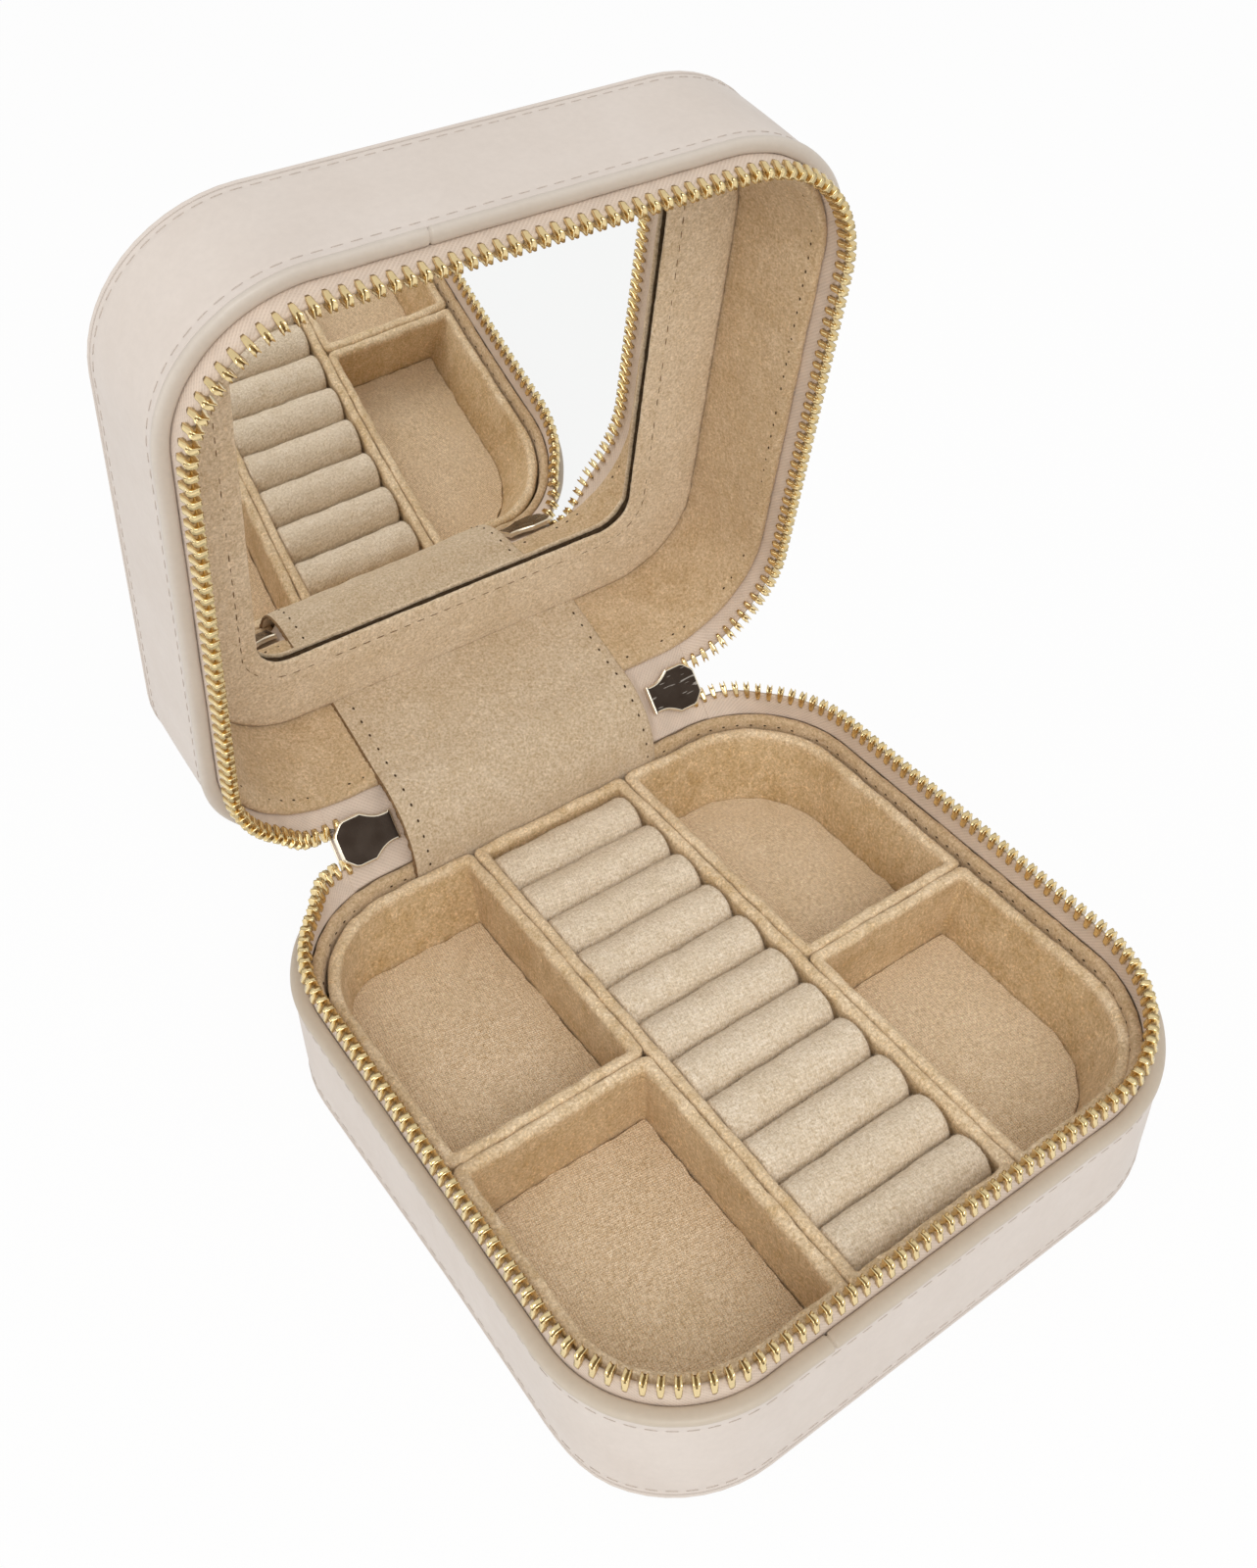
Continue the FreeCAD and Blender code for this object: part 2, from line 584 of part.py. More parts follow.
def zip_tooth():
    """One tooth, clamped on the tape's edge: two feet, a neck and a head, facing along X."""
    body = new_body("zip_tooth")
    sketch = new_sketch(body, "zip_tooth_profile", "XZ_Plane", "-tooth_long / 2")
    foot = "(tooth_foot / 2)"
    slot = "(tooth_slot / 2)"
    neck = "(tooth_neck / 2)"
    head = "(tooth_head / 2)"
    slot_top = f"-({TAPE_STOP} - (tooth_slot - tape_thick))"
    right = [(slot, "-tooth_drop"), (foot, "-tooth_drop"), (foot, f"-{TAPE_STOP}")]
    right += [(neck, "glue_line"), (head, "tooth_rise")]
    left = [(f"-{x}", z) for x, z in reversed(right)]
    pointed_loop(sketch, right + left + [(f"-{slot}", slot_top), (slot, slot_top)])
    pad(body, sketch, "tooth_long")
    return body.Shape


def zip_teeth():
    """A row of teeth on each half. The rows stand half a pitch apart, so that they mesh."""
    tooth = zip_tooth()
    hinge = Vector(0, value(HINGE_Y), value("half_height"))
    swing = FreeCAD.Placement(Vector(), FreeCAD.Rotation(Vector(-1, 0, 0), value("lid_open")), hinge)
    for label, shift, flip in (("base_zip_teeth", 0.0, 0), ("lid_zip_teeth", 0.5, 180)):
        row = []
        for spot, heading in zip_stations(shift):
            turn = FreeCAD.Rotation(Vector(0, 0, 1), heading)
            over = FreeCAD.Rotation(Vector(0, 1, 0), flip)
            copy = tooth.copy()
            copy.Placement = FreeCAD.Placement(spot + Vector(0, 0, hinge.z), turn * over)
            row.append(copy)
        group = DOC.addObject("Part::Feature", label)
        group.Label = label
        group.Shape = Part.makeCompound(row)
        group.Placement = swing if flip else FreeCAD.Placement()
        PIECES.append(group)


def bent_sheet(label, face, thick, bend, base_reach, lid_reach):
    """A sheet that folds across the hinge: straight down the base, round a bend, straight up the lid.

    face is the height of its inner face above the hinge line, measured into the case.
    """
    half_angle = math.radians(value("lid_open") / 2)
    hinge_y = value(HINGE_Y)
    zip_height = value("half_height")
    half_width = value(SPINE_HALF)

    def side(depth, radius, reach, lid):
        """End, tangent point and middle of the bend on one side, in the Y and Z plane."""
        spots = [(-depth, -reach), (-depth, (depth - radius) * math.tan(half_angle))]
        centre = (radius - depth, (depth - radius) * math.tan(half_angle))
        spots.append((centre[0] - radius * math.cos(half_angle), centre[1] + radius * math.sin(half_angle)))
        if lid:
            # the lid's side is the base's, mirrored in the plane that halves the open angle
            axis = (-math.cos(half_angle), math.sin(half_angle))
            flips = [y * axis[0] + z * axis[1] for y, z in spots]
            spots = [(2 * f * axis[0] - y, 2 * f * axis[1] - z) for f, (y, z) in zip(flips, spots)]
        return [Vector(-half_width, hinge_y + y, zip_height + z) for y, z in spots]

    faces = []
    for depth, radius in ((face, bend), (face - thick, bend - thick)):
        low = side(depth, radius, base_reach, False)
        high = side(depth, radius, lid_reach, True)
        faces.append((low, high))
    (low, high), (low_out, high_out) = faces
    edges = [
        Part.makeLine(low[0], low[1]),
        Part.Arc(low[1], low[2], high[1]).toShape(),
        Part.makeLine(high[1], high[0]),
        Part.makeLine(high[0], high_out[0]),
        Part.makeLine(high_out[0], high_out[1]),
        Part.Arc(high_out[1], low_out[2], low_out[1]).toShape(),
        Part.makeLine(low_out[1], low_out[0]),
        Part.makeLine(low_out[0], low[0]),
    ]
    sheet = DOC.addObject("Part::Feature", label)
    sheet.Label = label
    sheet.Shape = Part.Face(Part.Wire(edges)).extrude(Vector(2 * half_width, 0, 0))
    PIECES.append(sheet)


def spine():
    """The leather outside the hinge and the suede inside it."""
    leather_face = value("hinge_behind + band_inset - glue_line")
    leather_reach = value("spine_leather_reach")
    bend = value("spine_leather_bend")
    bent_sheet("spine_leather", leather_face, value("spine_leather"), bend, leather_reach, leather_reach)
    suede_face = value(f"hinge_behind + {LINING_INSET} + lining_thick")
    frame_front = value(f"half_height - {FRAME_TOP} - glue_line")
    tuck = value("spine_lining_tuck")
    bend = value("spine_lining_bend")
    bent_sheet("spine_lining", suede_face, value("spine_lining"), bend, tuck, frame_front)


def slider_place(side):
    """Placement of a slider: its plates halve the open angle, and its mouth faces away from the spine."""
    spin = 0 if side > 0 else 180
    return (
        f"create(<<placement>>; create(<<vector>>; {side} * {SLIDER_MIDDLE}; {HINGE_Y}; half_height); "
        "create(<<rotation>>; create(<<vector>>; 1; 0; 0); -(90 + lid_open / 2)) * "
        f"create(<<rotation>>; create(<<vector>>; 0; 0; 1); {spin}))"
    )


def slider_outline(sketch):
    """The slider's plate: narrow tail, hollow flanks, wide shoulders, cut corners at the mouth."""
    nose = "(slider_length / 2)"
    fore = "(slider_length / 2 - slider_chamfer)"
    aft = "(slider_length / 2 - slider_chamfer - slider_shoulder)"
    wide = "(slider_width / 2)"
    tail = "(slider_tail / 2)"
    mouth = "(slider_mouth / 2)"
    points = [(f"-{nose}", f"-{tail}"), (aft, f"-{wide}"), (fore, f"-{wide}"), (nose, f"-{mouth}")]
    points += [(nose, mouth), (fore, wide), (aft, wide), (f"-{nose}", tail)]
    pointed_loop(sketch, points, {0: "slider_waist", 6: "slider_waist"})


def zip_slider(name, side):
    """Two plates joined by a post at the mouth, with a bridge on the outer one for the pull."""
    body = new_body(f"zip_slider_{name}")
    body.setExpression("Placement", bound(slider_place(side)))
    inner = new_sketch(body, f"slider_inner_{name}", "XY_Plane", f"-{SLIDER_HALF}")
    slider_outline(inner)
    pad(body, inner, "slider_plate")
    post = new_sketch(body, f"slider_post_{name}", "XY_Plane", "-slider_gap / 2 - slider_plate / 2")
    reach = "(slider_length / 2 - slider_chamfer / 2)"
    wide = "(slider_post / 2)"
    back = "(slider_length / 2 - slider_chamfer - slider_shoulder / 2)"
    pointed_loop(post, [(back, f"-{wide}"), (reach, f"-{wide}"), (reach, wide), (back, wide)])
    pad(body, post, "slider_gap + slider_plate")
    outer = new_sketch(body, f"slider_outer_{name}", "XY_Plane", "slider_gap / 2")
    slider_outline(outer)
    pad(body, outer, "slider_plate")
    PIECES.append(body)

    crown = new_body(f"slider_bridge_{name}")
    crown.setExpression("Placement", bound(slider_place(side)))
    arch = new_sketch(crown, f"slider_bridge_arch_{name}", "XZ_Plane", "-crown_bar / 2")
    out = "(crown_length / 2)"
    leg = "(crown_length / 2 - crown_bar)"
    foot = f"({SLIDER_HALF} + glue_line)"
    under = f"({BAR_OUT} - crown_bar / 2)"
    over = f"({BAR_OUT} + crown_bar / 2)"
    points = [(f"-{out}", foot), (f"-{leg}", foot), (f"-{leg}", under), (leg, under)]
    points += [(leg, foot), (out, foot), (out, over), (f"-{out}", over)]
    pointed_loop(arch, points)
    block = pad(crown, arch, "crown_bar")
    bar = value(BAR_OUT)
    half_bar = value("crown_bar / 2")

    def along_bar(edge):
        box = edge.BoundBox
        lengthwise = box.YLength < 1e-6 and box.ZLength < 1e-6 and box.XLength > half_bar
        return lengthwise and abs(abs(box.ZMin - bar) - half_bar) < 1e-6

    soften(crown, block, "crown_bar / 2 - glue_line", along_bar)
    PIECES.append(crown)


def pull(name, side):
    """A flat pull with a round eye on the bridge's bar, hanging straight down."""
    body = new_body(f"zip_pull_{name}")
    half = "(lid_open / 2)"
    place = (
        f"create(<<vector>>; {side} * {SLIDER_MIDDLE}; {HINGE_Y} + {BAR_OUT} * cos({half}); "
        f"half_height - {BAR_OUT} * sin({half}))"
    )
    body.setExpression("Placement.Base", bound(place))
    eye = new_sketch(body, f"pull_eye_{name}", "YZ_Plane", "-pull_eye_width / 2")
    for radius in ("pull_eye / 2", "crown_bar / 2 + pull_play / 2"):
        circle = eye.addGeometry(Part.Circle(Vector(), Vector(0, 0, 1), value(radius)))
        eye.addConstraint(Sketcher.Constraint("Coincident", circle, 3, -1, 1))
        hold_radius(eye, circle, radius)
    pad(body, eye, "pull_eye_width")
    plate = new_sketch(body, f"pull_plate_{name}", "XZ_Plane", "-pull_thick / 2")
    wide = "(pull_width / 2)"
    high = "-(pull_eye / 4 + crown_bar / 4 + pull_play / 4)"
    tip = f"({wide} - glue_line)"
    rounded_loop(plate, (f"-{wide}", wide, "-pull_length", high, [tip, "pull_thick", "pull_thick", tip]))
    pad(body, plate, "pull_thick")
    hole = new_sketch(body, f"pull_hole_{name}", "XZ_Plane", "pull_thick")
    circle = hole.addGeometry(Part.Circle(Vector(), Vector(0, 0, 1), value("pull_hole / 2")))
    hold_radius(hole, circle, "pull_hole / 2")
    hole.addConstraint(Sketcher.Constraint("PointOnObject", circle, 3, -2))
    hold(hole, "DistanceY", circle, 3, f"{wide} - pull_length")
    pocket(body, hole)
    PIECES.append(body)


def tape_gusset(name, side):
    """The zip tape's two ends beside the slider, sewn together at the spine and open at the mouth."""
    body = new_body(f"zip_gusset_{name}")
    body.setExpression("Placement", bound(slider_place(side)))
    sketch = new_sketch(body, f"gusset_outline_{name}", "XY_Plane", "-gusset_thick / 2")
    mouth = "(slider_length / 2)"
    spine_edge = "(spine_gap - glue_line)"
    seam = "(spine_gap - glue_line - gusset_seam)"
    slit = "(gusset_slit / 2)"
    points = [(f"-{spine_edge}", "-gusset_reach"), (mouth, "-gusset_reach"), (mouth, f"-{slit}")]
    points += [(f"-{seam}", f"-{slit}"), (f"-{seam}", slit), (mouth, slit)]
    points += [(mouth, "gusset_reach"), (f"-{spine_edge}", "gusset_reach")]
    pointed_loop(sketch, points)
    pad(body, sketch, "gusset_thick")
    PIECES.append(body)


def check_and_write():
    """Stop if anything failed, then write each piece to its own file."""
    DOC.recompute()
    failed = [item.Name for item in DOC.Objects if {"Invalid", "Error"} & set(item.State)]
    if failed:
        raise RuntimeError(f"failed: {failed}")
    os.makedirs("parts", exist_ok=True)
    for piece in PIECES:
        if piece.Shape.isNull() or not piece.Shape.isValid():
            raise RuntimeError(f"{piece.Label} has no valid shape")
        piece.Shape.exportStep(f"parts/{piece.Label}.step")
    print(len(PIECES), "pieces")


half_case("base", False)
base_floor()
trays()
ring_rolls()
half_case("lid", True)
lid_mirror()
zip_teeth()
spine()
for hand, direction in (("left", -1), ("right", 1)):
    zip_slider(hand, direction)
    pull(hand, direction)
    tape_gusset(hand, direction)
check_and_write()
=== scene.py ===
"""Looks of a square zip-round jewellery case: leather, zip, suede lining, trays, ring rolls, mirror.

Lengths are in metres, in the frame's axes: X along the hinge, Y towards the hinge, Z up.
The two halves are alike, so a lid piece is worked out as a base piece, turned over about the
plane of the zip and swung open about the hinge line.
"""

import json
import math

import bpy
import numpy as np
from bpy.props import FloatProperty, FloatVectorProperty, PointerProperty
from mathutils import Matrix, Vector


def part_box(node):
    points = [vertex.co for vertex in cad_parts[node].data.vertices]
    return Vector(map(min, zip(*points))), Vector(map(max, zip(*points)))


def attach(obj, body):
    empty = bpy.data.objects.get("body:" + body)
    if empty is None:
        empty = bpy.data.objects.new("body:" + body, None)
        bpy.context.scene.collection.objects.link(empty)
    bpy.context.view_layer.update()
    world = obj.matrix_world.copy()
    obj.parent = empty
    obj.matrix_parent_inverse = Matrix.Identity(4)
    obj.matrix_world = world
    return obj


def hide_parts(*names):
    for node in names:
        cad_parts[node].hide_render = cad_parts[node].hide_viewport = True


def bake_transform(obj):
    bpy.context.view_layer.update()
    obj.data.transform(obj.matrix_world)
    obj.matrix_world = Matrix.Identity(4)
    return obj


bl_info = {
    "name": "Zip-round jewellery case",
    "version": (1, 0, 0),
    "blender": (4, 5, 0),
    "location": "View3D > Sidebar > Case",
    "description": "Dresses the frame of a jewellery case in leather, zip, suede and mirror",
    "category": "Object",
}

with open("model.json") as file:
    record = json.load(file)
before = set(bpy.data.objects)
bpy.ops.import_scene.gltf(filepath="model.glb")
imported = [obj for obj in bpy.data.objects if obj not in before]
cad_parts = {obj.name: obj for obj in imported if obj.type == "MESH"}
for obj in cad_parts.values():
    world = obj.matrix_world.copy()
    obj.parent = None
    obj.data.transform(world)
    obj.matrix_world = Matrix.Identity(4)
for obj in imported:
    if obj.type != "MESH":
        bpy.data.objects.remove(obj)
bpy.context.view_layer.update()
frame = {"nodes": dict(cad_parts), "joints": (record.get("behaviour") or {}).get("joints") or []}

MM = 0.001
HALVES = ("base", "lid")
HANDS = (("left", -1), ("right", 1))
LID_HINGE = next(joint for joint in frame["joints"] if joint["name"] == "lid_hinge")
HINGE_Y = LID_HINGE["pos_m"][1]
ZIP = LID_HINGE["pos_m"][2]
LID_OPEN = math.radians(-LID_HINGE["range_deg"][0])
HALF_OPEN = LID_OPEN / 2
# Unit vectors of the hinge, in Y and Z: out of the case, and from the base half to the lid half
OUTWARD = np.array([math.cos(HALF_OPEN), -math.sin(HALF_OPEN)])
ACROSS = np.array([math.sin(HALF_OPEN), math.cos(HALF_OPEN)])


def node_low(node):
    """Lowest corner of a frame node."""
    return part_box(node)[0]


def node_high(node):
    """Highest corner of a frame node."""
    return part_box(node)[1]


BAND_INSET = 0.2 * MM
HALF_X = node_high("base_band").x + BAND_INSET
HALF_Y = node_high("base_band").y + BAND_INSET
COVER_TOP = node_high("base_bottom_cover").z
BAND_TOP = node_high("base_band").z
TAPE_TOP = node_high("base_zip_tape").z
LINING_TOP = node_high("base_wall_lining").z
FLOOR_TOP = node_high("base_floor_board").z
TRAY_TOP = node_high("ring_tray").z
TRAY_LOW = node_low("ring_tray").z
PAD_LOW = node_low("tray_pad_front_left").z
PAD_TOP = node_high("tray_pad_front_left").z
SPINE_HALF = node_high("spine_lining").x
SLIDER_X = (node_low("zip_slider_right").x + node_high("zip_slider_right").x) / 2
SLIDER_HALF = node_high("zip_slider_right").x - SLIDER_X
# Heights of the mirror's frame above the lid's outer face
FRAME_LOW = 3.6 * MM
FRAME_TOP = 4.8 * MM
# The front corners differ a little from the back ones
FRONT_RIGHT_MORE = 2.2 * MM
FRONT_LEFT_LESS = 2.0 * MM


def length_prop(label, description, default):
    """A length that a user can change."""
    return FloatProperty(name=label, description=description, default=default, unit="LENGTH")


def colour_prop(label, description, *default):
    """A colour that a user can change, as linear values."""
    return FloatVectorProperty(name=label, description=description, default=default, subtype="COLOR")


class CaseSizes(bpy.types.PropertyGroup):
    """Sizes of the case's dressing."""

    corner_radius: length_prop("Corner radius", "Outer radius of the upright corners", 28 * MM)
    band_inset: length_prop("Band inset", "Leather band set in from the cover's edge", BAND_INSET)
    stitch_pitch: length_prop("Stitch", "Spacing of the leather's top stitches", 3.1 * MM)
    needle_pitch: length_prop("Needle holes", "Spacing of the suede's needle holes", 3.0 * MM)
    zip_inset: length_prop("Zip inset", "Zip line in from the outer face", 3.05 * MM)
    tape_thick: length_prop("Tape", "Thickness of the zip tape", 0.7 * MM)
    tooth_pitch: length_prop("Tooth pitch", "Spacing of the zip teeth", 2.5 * MM)
    lining_inset: length_prop("Lining face", "Inner face of the wall lining in from the outer face", 5.4 * MM)
    lid_lean: length_prop("Lid lining's lean", "How far the lid's lining comes in at the mirror", 3.5 * MM)
    tray_wall: length_prop("Tray wall", "Thickness of the suede-wrapped tray walls", 2.2 * MM)
    tray_lean: length_prop("Tray lean", "How far outer tray walls come in at the floor", 3.6 * MM)
    fibre: length_prop("Nap", "Length of the suede's loose fibres", 0.48 * MM)


class CaseColours(bpy.types.PropertyGroup):
    """Colours of the case's finishes."""

    leather: colour_prop("Leather", "Cream leather outside", 0.685, 0.615, 0.56)
    rim: colour_prop("Rolled rim", "Taupe leather of the rolled rims", 0.55, 0.475, 0.385)
    thread: colour_prop("Thread", "Tonal thread of the top stitches", 0.54, 0.475, 0.42)
    tape: colour_prop("Zip tape", "Pale pink woven tape", 0.72, 0.60, 0.50)
    gold: colour_prop("Gold", "Gold-coloured metal of the zip", 0.90, 0.71, 0.38)
    lining: colour_prop("Lining", "Suede on the walls of both halves", 0.635, 0.48, 0.305)
    # The mirror surround is the lining's suede painted lighter: painted light on the frame
    surround: colour_prop("Mirror surround", "Suede round the mirror", 0.74, 0.60, 0.43)
    tray: colour_prop("Tray walls", "Golden suede of the trays", 0.67, 0.498, 0.29)
    pad: colour_prop("Floor pads", "Woven-backed cloth of the floor pads", 0.965, 0.77, 0.535)
    roll: colour_prop("Ring rolls", "Pale suede of the ring rolls", 0.845, 0.73, 0.575)
    needle: colour_prop("Needle hole", "Shadow in the needle holes", 0.07, 0.042, 0.022)


# Outlines

def corner_radii(radius):
    """Outer radii from the back right corner round to the back left one."""
    return np.array([radius, radius + FRONT_RIGHT_MORE, radius - FRONT_LEFT_LESS, radius])


def case_pieces(inset, radius):
    """The outline set in by inset: centres and radii of its bends, and lengths of its straights and bends."""
    outer = corner_radii(radius)
    x = (HALF_X - outer) * [1, 1, -1, -1]
    y = (HALF_Y - outer) * [1, -1, -1, 1]
    lengths = np.empty(9)
    lengths[0::2] = x[0], y[0] - y[1], x[1] - x[2], y[3] - y[2], -x[3]
    lengths[1::2] = math.pi / 2 * (outer - inset)
    return np.stack([x, y], axis=-1), outer - inset, lengths


def case_run(inset, along, radius):
    """Points and outward normals along the case's outline, set in by inset.

    The run starts at the middle of the back and goes past +X, the front and -X. radius is the outer
    corner radius. A straight keeps its normal; a bend turns it by the length run over its radius.
    """
    centres, bends, lengths = case_pieces(inset, radius)
    ends = np.cumsum(lengths)
    piece = np.clip(np.searchsorted(ends, along, side="right"), 0, 8)
    past = along - (ends - lengths)[piece]
    is_bend = piece % 2 == 1
    bend = np.maximum((piece - 1) // 2, 0)
    angle = np.radians(90 - 90 * (piece // 2)) - np.where(is_bend, past / bends[bend], 0)
    normal = np.stack([np.cos(angle), np.sin(angle)], axis=-1)
    heading = np.stack([normal[..., 1], -normal[..., 0]], axis=-1)
    straight = np.where(is_bend, 0, past)[..., None]
    corner = np.where((piece == 0)[..., None], [0, centres[0, 1]], centres[bend])
    return corner + normal * bends[bend][..., None] + heading * straight, normal


def case_length(inset, radius):
    """Length of the case's outline, set in by inset."""
    return case_pieces(inset, radius)[2].sum()


def back_length(x, inset, radius):
    """Length along the run from the middle of the back to where it passes x on the +X side."""
    wide = HALF_X - radius
    if x <= wide:
        return x
    return wide + (radius - inset) * math.asin((x - wide) / (radius - inset))


def rounded_loop(left, right, front, back, radii, straight=40, arc=14):
    """Points and outward normals of a rounded rectangle, anticlockwise seen from above.

    radii are those of the corners front right, back right, back left and front left.
    Every side has the same number of steps, and so has every corner, so that two loops pair up.
    """
    reach = np.array([[right, front], [right, back], [left, back], [left, front]])
    inward = np.array([[-1, 1], [-1, -1], [1, -1], [1, 1]])
    radii = np.asarray(radii, float)
    centres = reach + inward * radii[:, None]
    angles = np.radians(np.array([-90, 0, 90, 180])[:, None] + np.linspace(0, 90, arc + 1)[None])
    turn = np.stack([np.cos(angles), np.sin(angles)], axis=-1)
    bends = centres[:, None] + turn * radii[:, None, None]
    share = np.linspace(0, 1, straight + 1)[1:-1, None]
    points, normals = [], []
    for side in range(4):
        start = bends[side - 1, -1]
        points += [start + (bends[side, 0] - start) * share, bends[side]]
        normals += [np.repeat(turn[side, :1], straight - 1, axis=0), turn[side]]
    return np.concatenate(points), np.concatenate(normals)


def case_loop(inset, radius, straight=40, arc=14):
    """The case's outline as a closed loop, set in by inset."""
    half_x = HALF_X - inset
    half_y = HALF_Y - inset
    radii = corner_radii(radius)[[1, 0, 3, 2]] - inset
    return rounded_loop(-half_x, half_x, -half_y, half_y, radii, straight, arc)


# Meshes

def smoothstep(share):
    """A soft step from 0 to 1."""
    share = np.clip(share, 0, 1)
    return share * share * (3 - 2 * share)


def unit(vectors):
    """Vectors brought to length 1."""
    return vectors / np.linalg.norm(vectors, axis=-1, keepdims=True)


def ripple(points, size, seed):
    """Smooth seeded unevenness between about -1 and 1: a sum of sine waves in random directions."""
    draw = np.random.default_rng(seed)
    waves = unit(draw.normal(size=(9, 3)))
    waves *= 2 * math.pi / size * draw.uniform(0.6, 1.6, size=(9, 1))
    phase = draw.uniform(0, 2 * math.pi, size=9)
    return np.sin(points @ waves.T + phase).sum(axis=-1) / 3


def uneven(points, *waves):
    """A sum of ripples, each given by its height and size in millimetres and its seed."""
    return sum(height * MM * ripple(points, size * MM, seed) for height, size, seed in waves)


def to_lid(points):
    """Turn base points over about the plane of the zip and swing them open about the hinge line."""
    y = points[..., 1] - HINGE_Y
    z = ZIP - points[..., 2]
    cos, sin = math.cos(LID_OPEN), math.sin(LID_OPEN)
    return np.stack([points[..., 0], HINGE_Y + y * cos + z * sin, ZIP - y * sin + z * cos], axis=-1)


def at_height(flat, z):
    """Points or directions in X and Y, with a height."""
    return np.concatenate([flat, np.full(flat.shape[:-1] + (1,), z)], axis=-1)


def stacked(loops, levels):
    """Level loops and their heights as a grid of points."""
    return np.stack([at_height(loop, z) for loop, z in zip(loops, levels)])


def grid_faces(rows, columns, wrap_rows=False, wrap_columns=False):
    """Quads of a grid of points, as indices."""
    down = np.arange(rows if wrap_rows else rows - 1)
    across = np.arange(columns if wrap_columns else columns - 1)
    i, j = np.meshgrid(down, across, indexing="ij")
    i_next = (i + 1) % rows
    j_next = (j + 1) % columns
    corners = [i * columns + j, i_next * columns + j, i_next * columns + j_next, i * columns + j_next]
    return np.stack(corners, axis=-1).reshape(-1, 4)


def tube_faces(rows, columns):
    """Quads of a grid that is closed across, and a cap on its first and last row."""
    first = list(range(columns))
    last = [(rows - 1) * columns + k for k in range(columns)]
    return grid_faces(rows, columns, False, True).tolist() + [first, last[::-1]]


def build(name, points, finish, body=None, replaces=(), faces=None, flip=False, smooth=True):
    """Make a mesh piece that rides on a body of the frame. Without faces, its points are a capped tube."""
    mesh = bpy.data.meshes.new(name)
    if faces is None:
        faces = tube_faces(*points.shape[:2])
    polygons = [list(face)[::-1] if flip else list(face) for face in faces]
    mesh.from_pydata(points.reshape(-1, 3).tolist(), [], polygons)
    mesh.update()
    mesh.polygons.foreach_set("use_smooth", np.full(len(polygons), smooth))
    mesh.materials.append(made(finish))
    piece = bpy.data.objects.new(name, mesh)
    bpy.context.scene.collection.objects.link(piece)
    if body:
        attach(piece, body)
    if replaces:
        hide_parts(*replaces)
    return piece


def build_half(half, name, points, finish, replaces=(), faces=None, flip=False):
    """Make a piece of one half from base points. The lid's are turned over, which turns its faces too."""
    is_lid = half == "lid"
    points = to_lid(points) if is_lid else points
    return build(f"{half}_{name}", points, finish, half, replaces, faces, flip != is_lid)


def second_finish(piece, finish, chosen):
    """Give a second finish to the faces that chosen marks."""
    piece.data.materials.append(made(finish))
    piece.data.polygons.foreach_set("material_index", np.asarray(chosen, dtype=np.int32))


def swept(path, normals, profile):
    """Points of a closed profile, of outward offsets and heights, carried along a level path."""
    flat = path[:, None] + normals[:, None] * profile[None, :, :1]
    height = np.broadcast_to(profile[None, :, 1:], flat.shape[:2] + (1,))
    return np.concatenate([flat, height], axis=-1)


def stamped(shape, origin, axes):
    """Copies of a small shape, which is points and faces: one per origin, turned to its three axes."""
    template, faces = shape
    points = origin[:, None] + np.einsum("vk,nkc->nvc", template, axes)
    count, size = points.shape[:2]
    copies = []
    for face in faces:
        copies += (np.array(face)[None] + np.arange(count)[:, None] * size).tolist()
    return points, copies


def level_axes(normals):
    """Along, outward and up at each point of a level path."""
    out = at_height(normals, 0.0)
    up = np.broadcast_to([0.0, 0.0, 1.0], out.shape)
    return np.stack([np.cross(out, up), out, up], axis=1)


def capsule(length, thick, high, sides=7, rings=4):
    """A bead lying along X with half-ellipse ends, thick across Y and high along Z."""
    turn = np.linspace(0.2, math.pi - 0.2, rings)
    around = np.linspace(0, 2 * math.pi, sides, endpoint=False)
    x = -np.cos(turn) * length / 2
    swell = np.sin(turn) ** 0.55
    y = np.cos(around)[None] * swell[:, None] * thick / 2
    z = np.sin(around)[None] * swell[:, None] * high / 2
    points = np.stack([np.broadcast_to(x[:, None], y.shape), y, z], axis=-1).reshape(-1, 3)
    return points, [face[::-1] for face in tube_faces(rings, sides)]


def needle_hole():
    """A small dark bead, flattened against the cloth."""
    size = 0.5 * MM
    return capsule(size * 1.3, size, size * 0.4, 6, 3)


def set_weave(piece, along, across):
    """Give a grid piece a UV map in metres along and across its cloth."""
    flat = np.stack(np.broadcast_arrays(along[:, None], across[None]), axis=-1)
    layer = piece.data.uv_layers.new(name="weave")
    corner = np.empty(len(piece.data.loops), dtype=np.int32)
    piece.data.loops.foreach_get("vertex_index", corner)
    layer.data.foreach_set("uv", flat.reshape(-1, 2)[corner].ravel().astype(np.float32))


